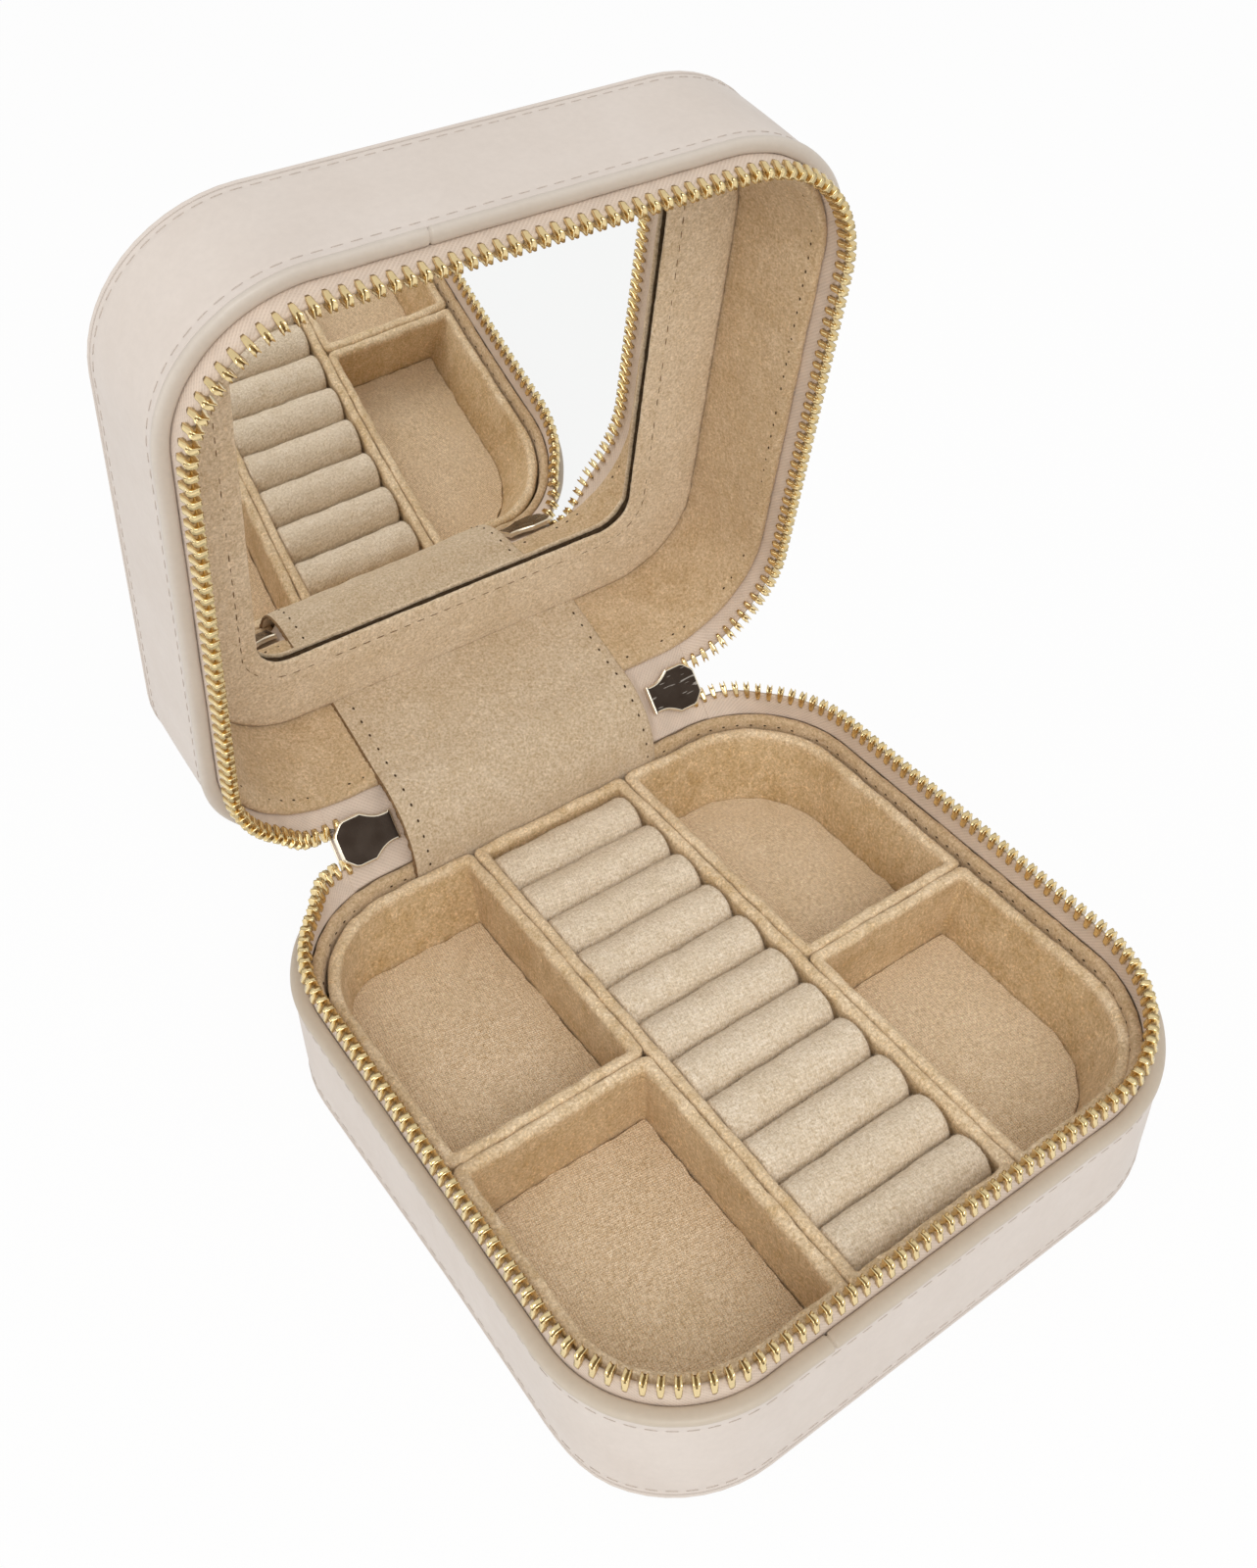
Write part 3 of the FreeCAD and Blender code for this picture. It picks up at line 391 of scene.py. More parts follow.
def fibres(name, points, fade, density, length, seed, finish):
    """Loose nap on a tube of points: slim three-sided spikes, scattered by area and leaning at random.

    fade is a top height, how far below it the nap starts, the rise over which it thickens to its full
    density, and the power of that rise. A spike stands on its face's normal plus a random lean.
    """
    draw = np.random.default_rng(seed)
    faces = grid_faces(*points.shape[:2], False, True)[:, ::-1]
    spots = points.reshape(-1, 3)[faces]
    top, depth, rise, power = fade
    keep = np.clip((spots[..., 2].mean(axis=1) - top + depth) / rise, 0, 1) ** power
    side = spots[:, 1] - spots[:, 0]
    other = spots[:, 3] - spots[:, 0]
    normal = np.cross(side, other)
    area = np.linalg.norm(normal, axis=1)
    normal /= area[:, None] + 1e-15
    weight = area * keep
    count = int(weight.sum() * density)
    chosen = draw.choice(len(weight), size=count, p=weight / weight.sum())
    normal = normal[chosen]
    down, across = draw.uniform(0, 1, size=(2, count, 1))
    root = spots[chosen, 0] + side[chosen] * down + other[chosen] * across
    lean = draw.normal(size=(count, 3))
    lean -= normal * (lean * normal).sum(axis=1)[:, None]
    stem = unit(normal * draw.uniform(0.25, 1.0, size=(count, 1)) + lean * 0.55)
    reach = length * draw.uniform(0.5, 1.25, size=(count, 1))
    first = unit(np.cross(stem, draw.normal(size=(count, 3))))
    second = np.cross(stem, first)
    thick = 0.032 * MM
    sunk = 0.05 * MM
    root = root - normal * sunk
    thirds = (0, 2.1, 4.2)
    feet = [root + (first * math.cos(angle) + second * math.sin(angle)) * thick for angle in thirds]
    spikes = np.stack([*feet, root + stem * reach], axis=1)
    base = np.arange(count)[:, None] * 4
    triangles = [base + np.array(corner) for corner in ([0, 1, 3], [1, 2, 3], [2, 0, 3], [2, 1, 0])]
    build(name, spikes, finish, "base", faces=np.concatenate(triangles).tolist())


# Materials

class Nodes:
    """A node tree being put together."""

    def __init__(self, tree):
        self.tree = tree

    def give(self, socket, value):
        """Give a socket a constant, or link it."""
        if isinstance(value, bpy.types.NodeSocket):
            self.tree.links.new(value, socket)
        elif socket.type == "RGBA" and len(value) == 3:
            socket.default_value = (*value, 1.0)
        else:
            socket.default_value = value

    def node(self, kind, inputs=None, **settings):
        """Add a node, with constants or links on its sockets, by name or number, and settings on itself."""
        node = self.tree.nodes.new(kind)
        for key, value in settings.items():
            setattr(node, key, value)
        for key, value in (inputs or {}).items():
            self.give(node.inputs[key], value)
        return node

    def math(self, operation, first, second):
        """One sum on two values."""
        return self.node("ShaderNodeMath", {0: first, 1: second}, operation=operation).outputs[0]

    def output(self, node, shader):
        """Send a shader to the tree's output node."""
        self.give(self.tree.nodes[node].inputs["Surface"], shader)


class Finish(Nodes):
    """A material being put together from nodes that read Object coordinates."""

    def __init__(self, name, **shader):
        material = bpy.data.materials.new(name)
        material.use_nodes = True
        super().__init__(material.node_tree)
        self.shader = self.tree.nodes["Principled BSDF"]
        self.place = self.node("ShaderNodeTexCoord").outputs["Object"]
        for socket, value in shader.items():
            self.set(socket.replace("_", " "), value)

    def set(self, socket, value):
        """Give a socket of the shader a constant, or link it."""
        self.give(self.shader.inputs[socket], value)

    def axis(self, letter):
        """One of the Object coordinates."""
        return self.node("ShaderNodeSeparateXYZ", {0: self.place}).outputs[letter]

    def noise(self, size, detail=2.0, roughness=0.5, stretch=None, distortion=0.0):
        """Cloudy unevenness whose features are about size metres across."""
        place = self.place
        if stretch:
            place = self.node("ShaderNodeMapping", {"Vector": place, "Scale": stretch}).outputs["Vector"]
        inputs = {"Vector": place, "Scale": 1 / size, "Detail": detail, "Roughness": roughness}
        inputs["Distortion"] = distortion
        return self.node("ShaderNodeTexNoise", inputs).outputs["Fac"]

    def cells(self, size):
        """Softened distance to the nearest of scattered cell centres about size metres apart."""
        inputs = {"Vector": self.place, "Scale": 1 / size}
        return self.node("ShaderNodeTexVoronoi", inputs, feature="SMOOTH_F1").outputs["Distance"]

    def threads(self, place, pitch, direction="X", distortion=0.6):
        """Parallel threads, pitch metres apart; a wave at scale 1 repeats every 0.314 m."""
        inputs = {"Vector": place, "Scale": 0.314 / pitch, "Distortion": distortion, "Detail Scale": 3.0}
        return self.node("ShaderNodeTexWave", inputs, bands_direction=direction).outputs["Fac"]

    def turned(self, place, angle):
        """Coordinates turned about Z."""
        return self.node("ShaderNodeMapping", {"Vector": place, "Rotation": (0, 0, angle)}).outputs["Vector"]

    def span(self, value, low, high, to_low=0.0, to_high=1.0):
        """Map a range of a value to another range, clamped."""
        inputs = {"Value": value, "From Min": low, "From Max": high, "To Min": to_low, "To Max": to_high}
        return self.node("ShaderNodeMapRange", inputs, clamp=True).outputs["Result"]

    def vary(self, noise, low, high):
        """A value that goes from low to high with a noise."""
        return self.span(noise, 0.3, 0.7, low, high)

    def mix(self, share, first, second):
        """Mix two colours."""
        return self.node("ShaderNodeMix", {0: share, 6: first, 7: second}, data_type="RGBA").outputs[2]

    def shades(self, noise, first, second):
        """A colour that goes from first to second with a noise."""
        return self.mix(self.vary(noise, 0.0, 1.0), first, second)

    def toned(self, colour, share, low, high):
        """A colour times a tint that goes from low to high with a share."""
        inputs = {0: 1.0, 6: colour, 7: self.mix(share, tint((1, 1, 1), *low), tint((1, 1, 1), *high))}
        return self.node("ShaderNodeMix", inputs, data_type="RGBA", blend_type="MULTIPLY").outputs[2]

    def bump(self, height, depth, strength=1.0, before=None):
        """Relief of a height between 0 and 1 that stands depth metres proud."""
        inputs = {"Height": height, "Distance": depth, "Strength": strength}
        if before is not None:
            inputs["Normal"] = before
        return self.node("ShaderNodeBump", inputs).outputs["Normal"]


def tint(colour, *factors):
    """A colour times one factor, or one factor for each channel."""
    factors = factors * 3 if len(factors) == 1 else factors
    return tuple(channel * factor for channel, factor in zip(colour, factors))


def leather_finish(name, colour, roughness, grain):
    """Smooth satin leather: fine pebble grain, faint mottling, a little more gloss on rubbed patches."""
    finish = Finish(name, Specular_IOR_Level=0.4)
    mottle = finish.noise(16 * MM, 3.0, 0.55)
    fine = finish.noise(1.2 * MM, 3.0, 0.6)
    base = finish.shades(mottle, tint(colour, 0.975, 0.965, 0.955), tint(colour, 1.02))
    finish.set("Base Color", finish.toned(base, finish.span(fine, 0.25, 0.75), [0.97], [1.02]))
    finish.set("Roughness", finish.vary(finish.noise(5 * MM), roughness - 0.05, roughness + 0.06))
    relief = finish.bump(finish.span(finish.cells(0.75 * MM), 0.0, 0.8), 0.035 * MM, grain)
    finish.set("Normal", finish.bump(fine, 0.03 * MM, grain, relief))


def suede_finish(name, colour, marbling, weave=0.0, crest=None):
    """Suede: clouds of nap brushed one way or the other, coarse and fine fibres, and a soft sheen.

    marbling is how far the clouds darken and yellow the colour; weave is the strength of the cloth's
    own threads, as on the floor pads; crest is the tint of painted light on the top of a tray's rim.
    """
    finish = Finish(name, Roughness=0.95, Specular_IOR_Level=0.1, Sheen_Weight=0.25, Sheen_Roughness=0.5,
                    Sheen_Tint=(1.0, 0.93, 0.82))
    clouds = finish.noise(11 * MM, 4.0, 0.62, distortion=0.9)
    streaks = finish.noise(1.9 * MM, 3.0, 0.6, stretch=(1.0, 1.0, 0.5), distortion=1.2)
    fibre = finish.noise(0.55 * MM, 4.0, 0.75)
    strokes = finish.noise(1.8 * MM, 2.0, 0.5, distortion=4.0)
    nap = finish.math("ADD", finish.math("MULTIPLY", clouds, 0.55), finish.math("MULTIPLY", streaks, 0.45))
    dark = tint(colour, 1 - 0.20 * marbling, 1 - 0.27 * marbling, 1 - 0.40 * marbling)
    light = tint(colour, 1 + 0.06 * marbling, 1 + 0.08 * marbling, 1 + 0.12 * marbling)
    base = finish.mix(finish.span(nap, 0.36, 0.62), dark, light)
    base = finish.toned(base, finish.span(strokes, 0.54, 0.66), [1.0], [1 + 0.28 * marbling])
    base = finish.toned(base, finish.span(fibre, 0.33, 0.67), (0.73, 0.66, 0.55), (1.24, 1.27, 1.34))
    relief = finish.bump(fibre, 0.4 * MM, 0.7)
    relief = finish.bump(streaks, 0.25 * MM, 0.4, relief)
    if weave:
        place = finish.turned(finish.place, 0.12)
        warp, weft = (finish.threads(place, 0.46 * MM, direction, 1.6) for direction in "XY")
        dots = finish.math("MULTIPLY", warp, weft)
        relief = finish.bump(dots, 0.16 * MM, weave, relief)
        base = finish.toned(base, finish.span(dots, 0.0, 0.6), [1.0 - 0.22 * weave], [1 + 0.12 * weave])
    if crest:
        # Lighter towards the top of the rim: painted light from above on its crest
        lit_rim_top = finish.span(finish.axis("Z"), TRAY_TOP - 2.0 * MM, TRAY_TOP - 0.3 * MM)
        base = finish.toned(base, lit_rim_top, [1.0], crest)
    finish.set("Base Color", base)
    finish.set("Normal", relief)


def tape_finish(name, colour):
    """Woven tape: fine diagonal threads on the tape's own UV map, which is in metres along and across."""
    finish = Finish(name, Roughness=0.8, Specular_IOR_Level=0.2, Sheen_Weight=0.15, Sheen_Roughness=0.5)
    uv = finish.node("ShaderNodeUVMap", uv_map="weave").outputs["UV"]
    rising, falling = (finish.threads(finish.turned(uv, angle), 0.6 * MM, "X", 0.3) for angle in (0.8, -0.8))
    weave = finish.math("MAXIMUM", rising, finish.math("MULTIPLY", falling, 0.6))
    base = finish.shades(finish.noise(3 * MM), tint(colour, 0.95), tint(colour, 1.05))
    finish.set("Base Color", finish.toned(base, weave, (0.88, 0.86, 0.84), [1.04]))
    finish.set("Normal", finish.bump(weave, 0.08 * MM, 0.6))


def gold_finish(name, colour, roughness):
    """Polished gold-coloured plating with faint wear."""
    finish = Finish(name, Metallic=1.0)
    wear = finish.noise(1.6 * MM, 3.0, 0.6)
    finish.set("Base Color", finish.mix(finish.span(wear, 0.35, 0.75), colour, tint(colour, 0.88)))
    finish.set("Roughness", finish.vary(wear, roughness - 0.05, roughness + 0.08))
    finish.set("Normal", finish.bump(finish.noise(0.7 * MM), 0.02 * MM, 0.4))


def dark_metal_finish(name):
    """Polished dark underside of a zip slider; the right one has a few fine scratches."""
    finish = Finish(name, Metallic=0.9, Specular_IOR_Level=0.4)
    scratch = finish.noise(0.5 * MM, 1.0, 0.5, stretch=(0.12, 1.0, 1.0))
    cloud = finish.noise(4 * MM)
    base = finish.shades(cloud, (0.052, 0.036, 0.026), (0.072, 0.054, 0.042))
    is_right = finish.span(finish.axis("X"), 0.0, 10 * MM)
    scratched = finish.math("MULTIPLY", finish.span(scratch, 0.66, 0.70), is_right)
    finish.set("Base Color", finish.mix(scratched, base, (0.40, 0.36, 0.32)))
    finish.set("Roughness", finish.vary(cloud, 0.22, 0.32))
    finish.set("Normal", finish.bump(scratch, 0.01 * MM, 0.3))


def mirror_finish(name):
    """Silvered glass with the faintest haze, bowed a little along the hinge and tipped a little on its tape.

    Its normal is that of the lid's inside, plus a slope along X that grows with X, plus a slope up the lid.
    """
    finish = Finish(name, Metallic=1.0, Base_Color=(0.93, 0.935, 0.93))
    finish.set("Roughness", finish.vary(finish.noise(20 * MM), 0.0, 0.012))
    tip, turn, bow = 0.0305, 0.0156, 0.99
    cos, sin = math.cos(LID_OPEN), math.sin(LID_OPEN)
    slope = finish.math("ADD", finish.math("MULTIPLY", finish.axis("X"), bow), turn)
    inputs = {0: slope, 1: tip * cos - sin, 2: -tip * sin - cos}
    normal = finish.node("ShaderNodeCombineXYZ", inputs).outputs[0]
    in_world = finish.node("ShaderNodeVectorTransform", {0: normal}, vector_type="NORMAL",
                           convert_from="OBJECT", convert_to="WORLD")
    finish.set("Normal", in_world.outputs[0])


def plain_finish(name, colour, size, contrast, roughness):
    """A matt material whose fibres, size metres across, differ in shade."""
    finish = Finish(name, Roughness=roughness, Specular_IOR_Level=0.15)
    fibre = finish.noise(size, 3.0, 0.65)
    finish.set("Base Color", finish.shades(fibre, tint(colour, 1 - contrast), tint(colour, 1 + contrast)))
    finish.set("Normal", finish.bump(fibre, 0.08 * MM, 0.6))


def made(name):
    """A finish made earlier."""
    return bpy.data.materials[name]


def paint(node, finish):
    """Give a frame node one of the finishes."""
    slots = frame["nodes"][node].data.materials
    slots.clear()
    slots.append(made(finish))


class CASE_OT_finishes(bpy.types.Operator):
    """Make the materials, and give them to the frame's own nodes that stay in view or hidden inside."""

    bl_idname = "case.finishes"
    bl_label = "Finishes"

    def execute(self, context):
        colours = context.scene.case_colours
        leather_finish("cream_leather", colours.leather, 0.46, 0.5)
        # Two copies of the rim leather: the lid's is painted lighter than the base's, as painted light on the
        # lid's rim
        leather_finish("base_rim_leather_light_copy", colours.rim, 0.36, 0.35)
        leather_finish("lid_rim_leather_light_copy", tint(colours.rim, 1.09, 1.13, 1.22), 0.36, 0.35)
        plain_finish("tonal_thread", colours.thread, 0.35 * MM, 0.15, 0.6)
        plain_finish("needle_shadow", colours.needle, 0.4 * MM, 0.5, 1.0)
        # Dark brown of the hinge suede's cut edge and of the frame's stitches; on the cut edge it is partly
        # painted shade
        plain_finish("raw_edge_and_shade", (0.22, 0.135, 0.07), 0.5 * MM, 0.45, 1.0)
        plain_finish("card_shadow", (0.14, 0.09, 0.05), 0.8 * MM, 0.4, 0.9)
        plain_finish("fibreboard", (0.36, 0.27, 0.18), 1.5 * MM, 0.2, 0.9)
        tape_finish("woven_tape", colours.tape)
        gold_finish("gold_plating", colours.gold, 0.16)
        # The gold darkened for the teeth's sockets: painted shade in the sockets
        gold_finish("socket_shade_gold", tint(colours.gold, 0.3, 0.25, 0.19), 0.3)
        # The sliders' gold, painted paler than the zip's: a painted highlight on their bevels
        gold_finish("highlight_gold", tint(colours.gold, 1.08, 1.25, 1.9), 0.32)
        dark_metal_finish("slider_underside")
        suede_finish("lining_suede", colours.lining, 0.6)
        # The surround and hinge suedes are the lining's suede painted lighter: painted light; the hinge's is
        # a little darker than the surround's
        suede_finish("surround_suede", colours.surround, 0.5)
        suede_finish("spine_suede", tint(colours.surround, 0.875), 0.5)
        # The trays' suede, painted lighter at the top of the rims: painted light
        suede_finish("tray_suede", colours.tray, 1.0, crest=(1.24, 1.35, 1.6))
        suede_finish("roll_suede", colours.roll, 0.3, weave=0.4)
        suede_finish("pad_cloth", colours.pad, 0.35, weave=0.9)
        # The rims' nap, the tray suede painted paler to match the painted light on the crests
        plain_finish("rim_nap", tint(colours.tray, 1.3, 1.45, 1.75), 2 * MM, 0.14, 1.0)
        plain_finish("roll_nap", colours.roll, 2 * MM, 0.12, 1.0)
        mirror_finish("silvered_glass")
        for node in ("base_wall_board", "base_floor_board", "lid_wall_board", "lid_top_board",
                     "mirror_spacer", "mirror_backing"):
            paint(node, "fibreboard")
        paint("mirror_glass", "silvered_glass")
        return {"FINISHED"}


class CASE_OT_leather(bpy.types.Operator):
    """Cover panels, stitched bands and rolled rims of both halves."""

    bl_idname = "case.leather"
    bl_label = "Leather"

    # Heights of the two rows of top stitches
    rows = {"edge": COVER_TOP + 1.1 * MM, "rim": BAND_TOP - 1.5 * MM}

    def execute(self, context):
        sizes = context.scene.case_sizes
        for half in HALVES:
            self.cover(half, sizes)
            self.band(half, sizes)
            self.rim_roll(half, sizes)
            for row, height in self.rows.items():
                self.stitches(half, f"{row}_stitches", sizes, height)
        return {"FINISHED"}

    def settled(self, points, half):
        """Draw the base's left wall in towards its foot, where the soft leather has sunk a little.

        The shift is greatest at the floor, near the wall's front, and dies out up the wall and at its ends.
        """
        if half == "lid":
            return points
        sunk = 1.0 * MM
        x, y, z = np.moveaxis(points, -1, 0)
        low = np.clip(1 - z / BAND_TOP, 0, 1)
        middle = smoothstep((y + 54 * MM) / (15 * MM)) * smoothstep((46 * MM - y) / (60 * MM))
        shift = sunk * low * middle * smoothstep((-48 * MM - x) / (12 * MM))
        return points + np.stack([shift, 0 * shift, 0 * shift], axis=-1)

    def cover(self, half, sizes):
        """A panel with turned edges: loops set in from the outline, rising over a quarter round.

        The lid's panel is crowned a little; the base's is flat because the case stands on it.
        """
        edge = 0.35 * MM
        start = 0.02 * MM
        name, crown = ("top_cover", 0.5 * MM) if half == "lid" else ("bottom_cover", 0.0)
        quarter = np.linspace(0, math.pi / 2, 6)
        insets = start + edge - edge * np.cos(quarter)
        heights = edge - edge * np.sin(quarter)
        loops = [case_loop(inset, sizes.corner_radius)[0] for inset in (start, *insets)]
        levels = [COVER_TOP, *heights]
        inner = loops[-1]
        for share in np.linspace(0, 1, 15)[1:-1]:
            loops.append(inner * (1 - share))
            levels.append(heights[-1] - crown * (1 - (1 - share) ** 2))
        rings = self.settled(stacked(loops, levels), half)
        build_half(half, f"{name}_leather", rings, "cream_leather", [f"{half}_{name}"])

    def band(self, half, sizes):
        """The side band: an outer face that dips along its two rows of stitches, and a plain inner face."""
        thick = 1.1 * MM
        height = np.linspace(COVER_TOP, BAND_TOP, 64)
        dip = np.zeros_like(height)
        for row in self.rows.values():
            dip += 0.10 * MM * np.exp(-(((height - row) / (0.45 * MM)) ** 2))
        swell = 0.12 * MM * np.sin(np.linspace(0, math.pi, 64)) ** 0.7
        outer = np.column_stack([swell - dip, height])
        inner = np.array([[-thick, BAND_TOP], [-thick, COVER_TOP]])
        path, normals = case_loop(sizes.band_inset, sizes.corner_radius, 60, 30)
        points = self.settled(swept(path, normals, np.concatenate([outer, inner])), half)
        faces = grid_faces(*points.shape[:2], True, True)
        build_half(half, "band_leather", points, "cream_leather", [f"{half}_band"], faces)

    def rim_roll(self, half, sizes):
        """The piped rim: a squarish round section along the outline, its ends drawn in beside the sliders.

        It has a nick on the front side, where its two ends butt together.
        """
        radius = sizes.corner_radius
        inset = sizes.band_inset + 1.0 * MM
        start = back_length(SLIDER_X + 9 * MM, inset, radius)
        total = case_length(inset, radius)
        nick = total / 2 + (19.3 if half == "lid" else 27.0) * MM
        along = np.concatenate([np.linspace(start, total - start, 460), nick + np.linspace(-1, 1, 15) * MM])
        along.sort()
        path, normals = case_run(inset, along, radius)
        turn = np.linspace(0, 2 * math.pi, 26, endpoint=False)
        wide = 1.45 * MM
        high = 0.88 * MM
        across = np.sign(np.cos(turn)) * np.abs(np.cos(turn)) ** 0.8 * wide
        rise = np.sign(np.sin(turn)) * np.abs(np.sin(turn)) ** 0.8 * high
        points = swept(path, normals, np.column_stack([across, rise + BAND_TOP + high - 0.05 * MM]))
        end = np.minimum(along - start, total - start - along)
        size = np.sqrt(np.clip(end / (2.5 * MM), 0.02, 1))
        size -= 0.3 * np.exp(-(((along - nick) / (0.22 * MM)) ** 2))
        middle = points.mean(axis=1, keepdims=True)
        points = middle + (points - middle) * size[:, None, None]
        points[..., :2] += normals[:, None] * uneven(points, (0.04, 9, 3))[..., None]
        # Each half takes its own copy of the rim leather; the lid's copy carries painted light
        build_half(half, "rim_piping", points, f"{half}_rim_leather_light_copy", [f"{half}_rim_roll"],
                   flip=True)

    def stitches(self, half, name, sizes, height):
        """A row of top stitches, each a short thread bedded in the band."""
        bedded = 0.02 * MM
        total = case_length(sizes.band_inset, sizes.corner_radius)
        count = int(total / sizes.stitch_pitch)
        along = (np.arange(count) + 0.5) * total / count
        path, normals = case_run(sizes.band_inset, along, sizes.corner_radius)
        thread = capsule(sizes.stitch_pitch * 0.62, 0.2 * MM, 0.2 * MM)
        points, faces = stamped(thread, at_height(path - normals * bedded, height), level_axes(normals))
        build_half(half, name, self.settled(points, half), "tonal_thread", faces=faces)


class ZipLine:
    """The zip of the base half: where its tape's two edges run, and how it leans out to the sliders.

    Along the walls the tape stands upright. Towards the back its upper edge leans out until it
    comes near the hinge line, where it runs in under the slider's shoulder.
    """

    lean_length = 13 * MM
    end_gap = 4.4 * MM
    low = BAND_TOP + 0.1 * MM

    def __init__(self, sizes):
        self.inset = sizes.zip_inset
        self.radius = sizes.corner_radius
        self.total = case_length(self.inset, self.radius)
        self.mouth = back_length(SLIDER_X + SLIDER_HALF, self.inset, self.radius)

    def lean(self, along):
        """How far the tape has leant out, from 0 to 1."""
        past = np.minimum(along, self.total - along) - self.mouth
        return smoothstep(1 - past / self.lean_length)

    def edges(self, along):
        """Lower and upper edge of the tape, and the outward normal, at lengths along the run."""
        path, normals = case_run(self.inset, along, self.radius)
        upright = at_height(path, TAPE_TOP)
        held = np.column_stack([path[:, 0], np.full((len(path), 2), (HINGE_Y, ZIP) - ACROSS * self.end_gap)])
        high = upright + (held - upright) * self.lean(along)[:, None]
        return at_height(path, self.low), high, at_height(normals, 0.0)


class CASE_OT_zip(bpy.types.Operator):
    """Woven tapes and rows of metal teeth of both halves, and the web of tape that the sliders hold."""

    bl_idname = "case.zip"
    bl_label = "Zip"

    def execute(self, context):
        sizes = context.scene.case_sizes
        line = ZipLine(sizes)
        for half in HALVES:
            self.tape(half, sizes, line)
            self.teeth(half, sizes, line)
        for hand, side in HANDS:
            self.web(hand, side, sizes, line)
        return {"FINISHED"}

    def tape(self, half, sizes, line):
        """A strip between the tape's two edges, with its thickness.

        An upright cross-section bows: its outward lean grows with the square of the height.
        """
        start = line.mouth - 0.4 * MM
        along = np.linspace(start, line.total - start, 620)
        low, high, out = line.edges(along)
        share = np.linspace(0, 1, 14)[None, :, None]
        lean = line.lean(along)[:, None, None]
        rise = (high - low)[:, None]
        bow = (0.35 * share + 0.65 * share**2) * (1 - lean) + share * lean
        face = low[:, None] + np.concatenate([rise[..., :2] * bow, rise[..., 2:] * share], axis=-1)
        half_thick = out[:, None] * sizes.tape_thick / 2
        points = np.concatenate([face + half_thick, (face - half_thick)[:, ::-1]], axis=1)
        piece = build_half(half, "woven_tape", points, "woven_tape", [f"{half}_zip_tape"],
                           flip=True)
        up = share[0, :, 0] * (TAPE_TOP - BAND_TOP)
        set_weave(piece, along, np.concatenate([up, up[::-1]]))

    def teeth(self, half, sizes, line):
        """Teeth clamped on the tape's upper edge, evenly along it, the last ones under the sliders.

        The lid's row stands half a pitch along, so that they mesh.
        """
        pitch = sizes.tooth_pitch
        under = line.mouth - 3.2 * MM
        run = np.linspace(under, line.total - under, 4000)
        edge = line.edges(run)[1]
        length = np.concatenate([[0], np.cumsum(np.linalg.norm(np.diff(edge, axis=0), axis=1))])
        count = int((length[-1] - pitch / 2) / pitch)
        spare = (length[-1] - (count - 0.5) * pitch) / 2
        shift = 0.5 if half == "lid" else 0.0
        along = np.interp(spare + (np.arange(count) + shift) * pitch, length, run)
        low, high, out = line.edges(along)
        up = unit(high - low)
        heading = unit(np.cross(out, up))
        tooth, socket = tooth_shape()
        points, faces = stamped(tooth, high, np.stack([heading, np.cross(up, heading), up], axis=1))
        piece = build_half(half, "metal_teeth", points, "gold_plating", [f"{half}_zip_teeth"],
                           faces, flip=True)
        # The socket faces take the darkened gold: painted shade in each tooth's socket
        second_finish(piece, "socket_shade_gold", np.repeat(socket, count))

    def web(self, hand, side, sizes, line):
        """The tape round a slider: from the base's band across the hinge line to the lid's band.

        Its line across is a parabola in the hinge's own axes. Past the slider's tail it draws in,
        to pass in front of the hinge leather and behind the hinge suede. Between the two rows of teeth its
        edge stays back under the slider.
        """
        draw_in = 3.2 * MM
        hold_back = 2.4 * MM
        half_flat = 8.5 * MM
        x = np.linspace(SPINE_HALF - 4 * MM, SLIDER_X + SLIDER_HALF, 70)
        along = np.array([back_length(value, line.inset, line.radius) for value in x])
        path, _ = case_run(line.inset, along, line.radius)
        foot = np.column_stack([path[:, 1], np.full(len(x), line.low)]) - (HINGE_Y, ZIP)
        far = (foot @ ACROSS)[:, None]
        depth = (foot @ OUTWARD)[:, None]
        tail = SLIDER_X - SLIDER_HALF
        drawn = -draw_in * smoothstep((tail - x) / (3.2 * MM))[:, None]
        share = np.linspace(-1, 1, 41)[None]
        out = depth * share**2 + drawn * (1 - share**2)
        middle = (HINGE_Y, ZIP) + out[..., None] * OUTWARD - (far * share)[..., None] * ACROSS
        half = OUTWARD * sizes.tape_thick / 2
        section = np.concatenate([middle + half, (middle - half)[:, ::-1]], axis=1)
        between = 1 - smoothstep((np.abs(far * share) - 3.2 * MM) / (1.4 * MM))
        place = x[:, None] - hold_back * between * smoothstep((x - x[-1] + 5 * MM) / (5 * MM))[:, None]
        points = np.dstack([side * np.concatenate([place, place[:, ::-1]], axis=1), section])
        piece = build(f"zip_web_{hand}", points, "woven_tape", None, [f"zip_gusset_{hand}"],
                      flip=side > 0)
        set_weave(piece, along, np.concatenate([share[0], share[0, ::-1]]) * half_flat)
        bend_with_lid(piece)


def bend_with_lid(piece):
    """Bake a piece's placement into its points."""
    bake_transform(piece)


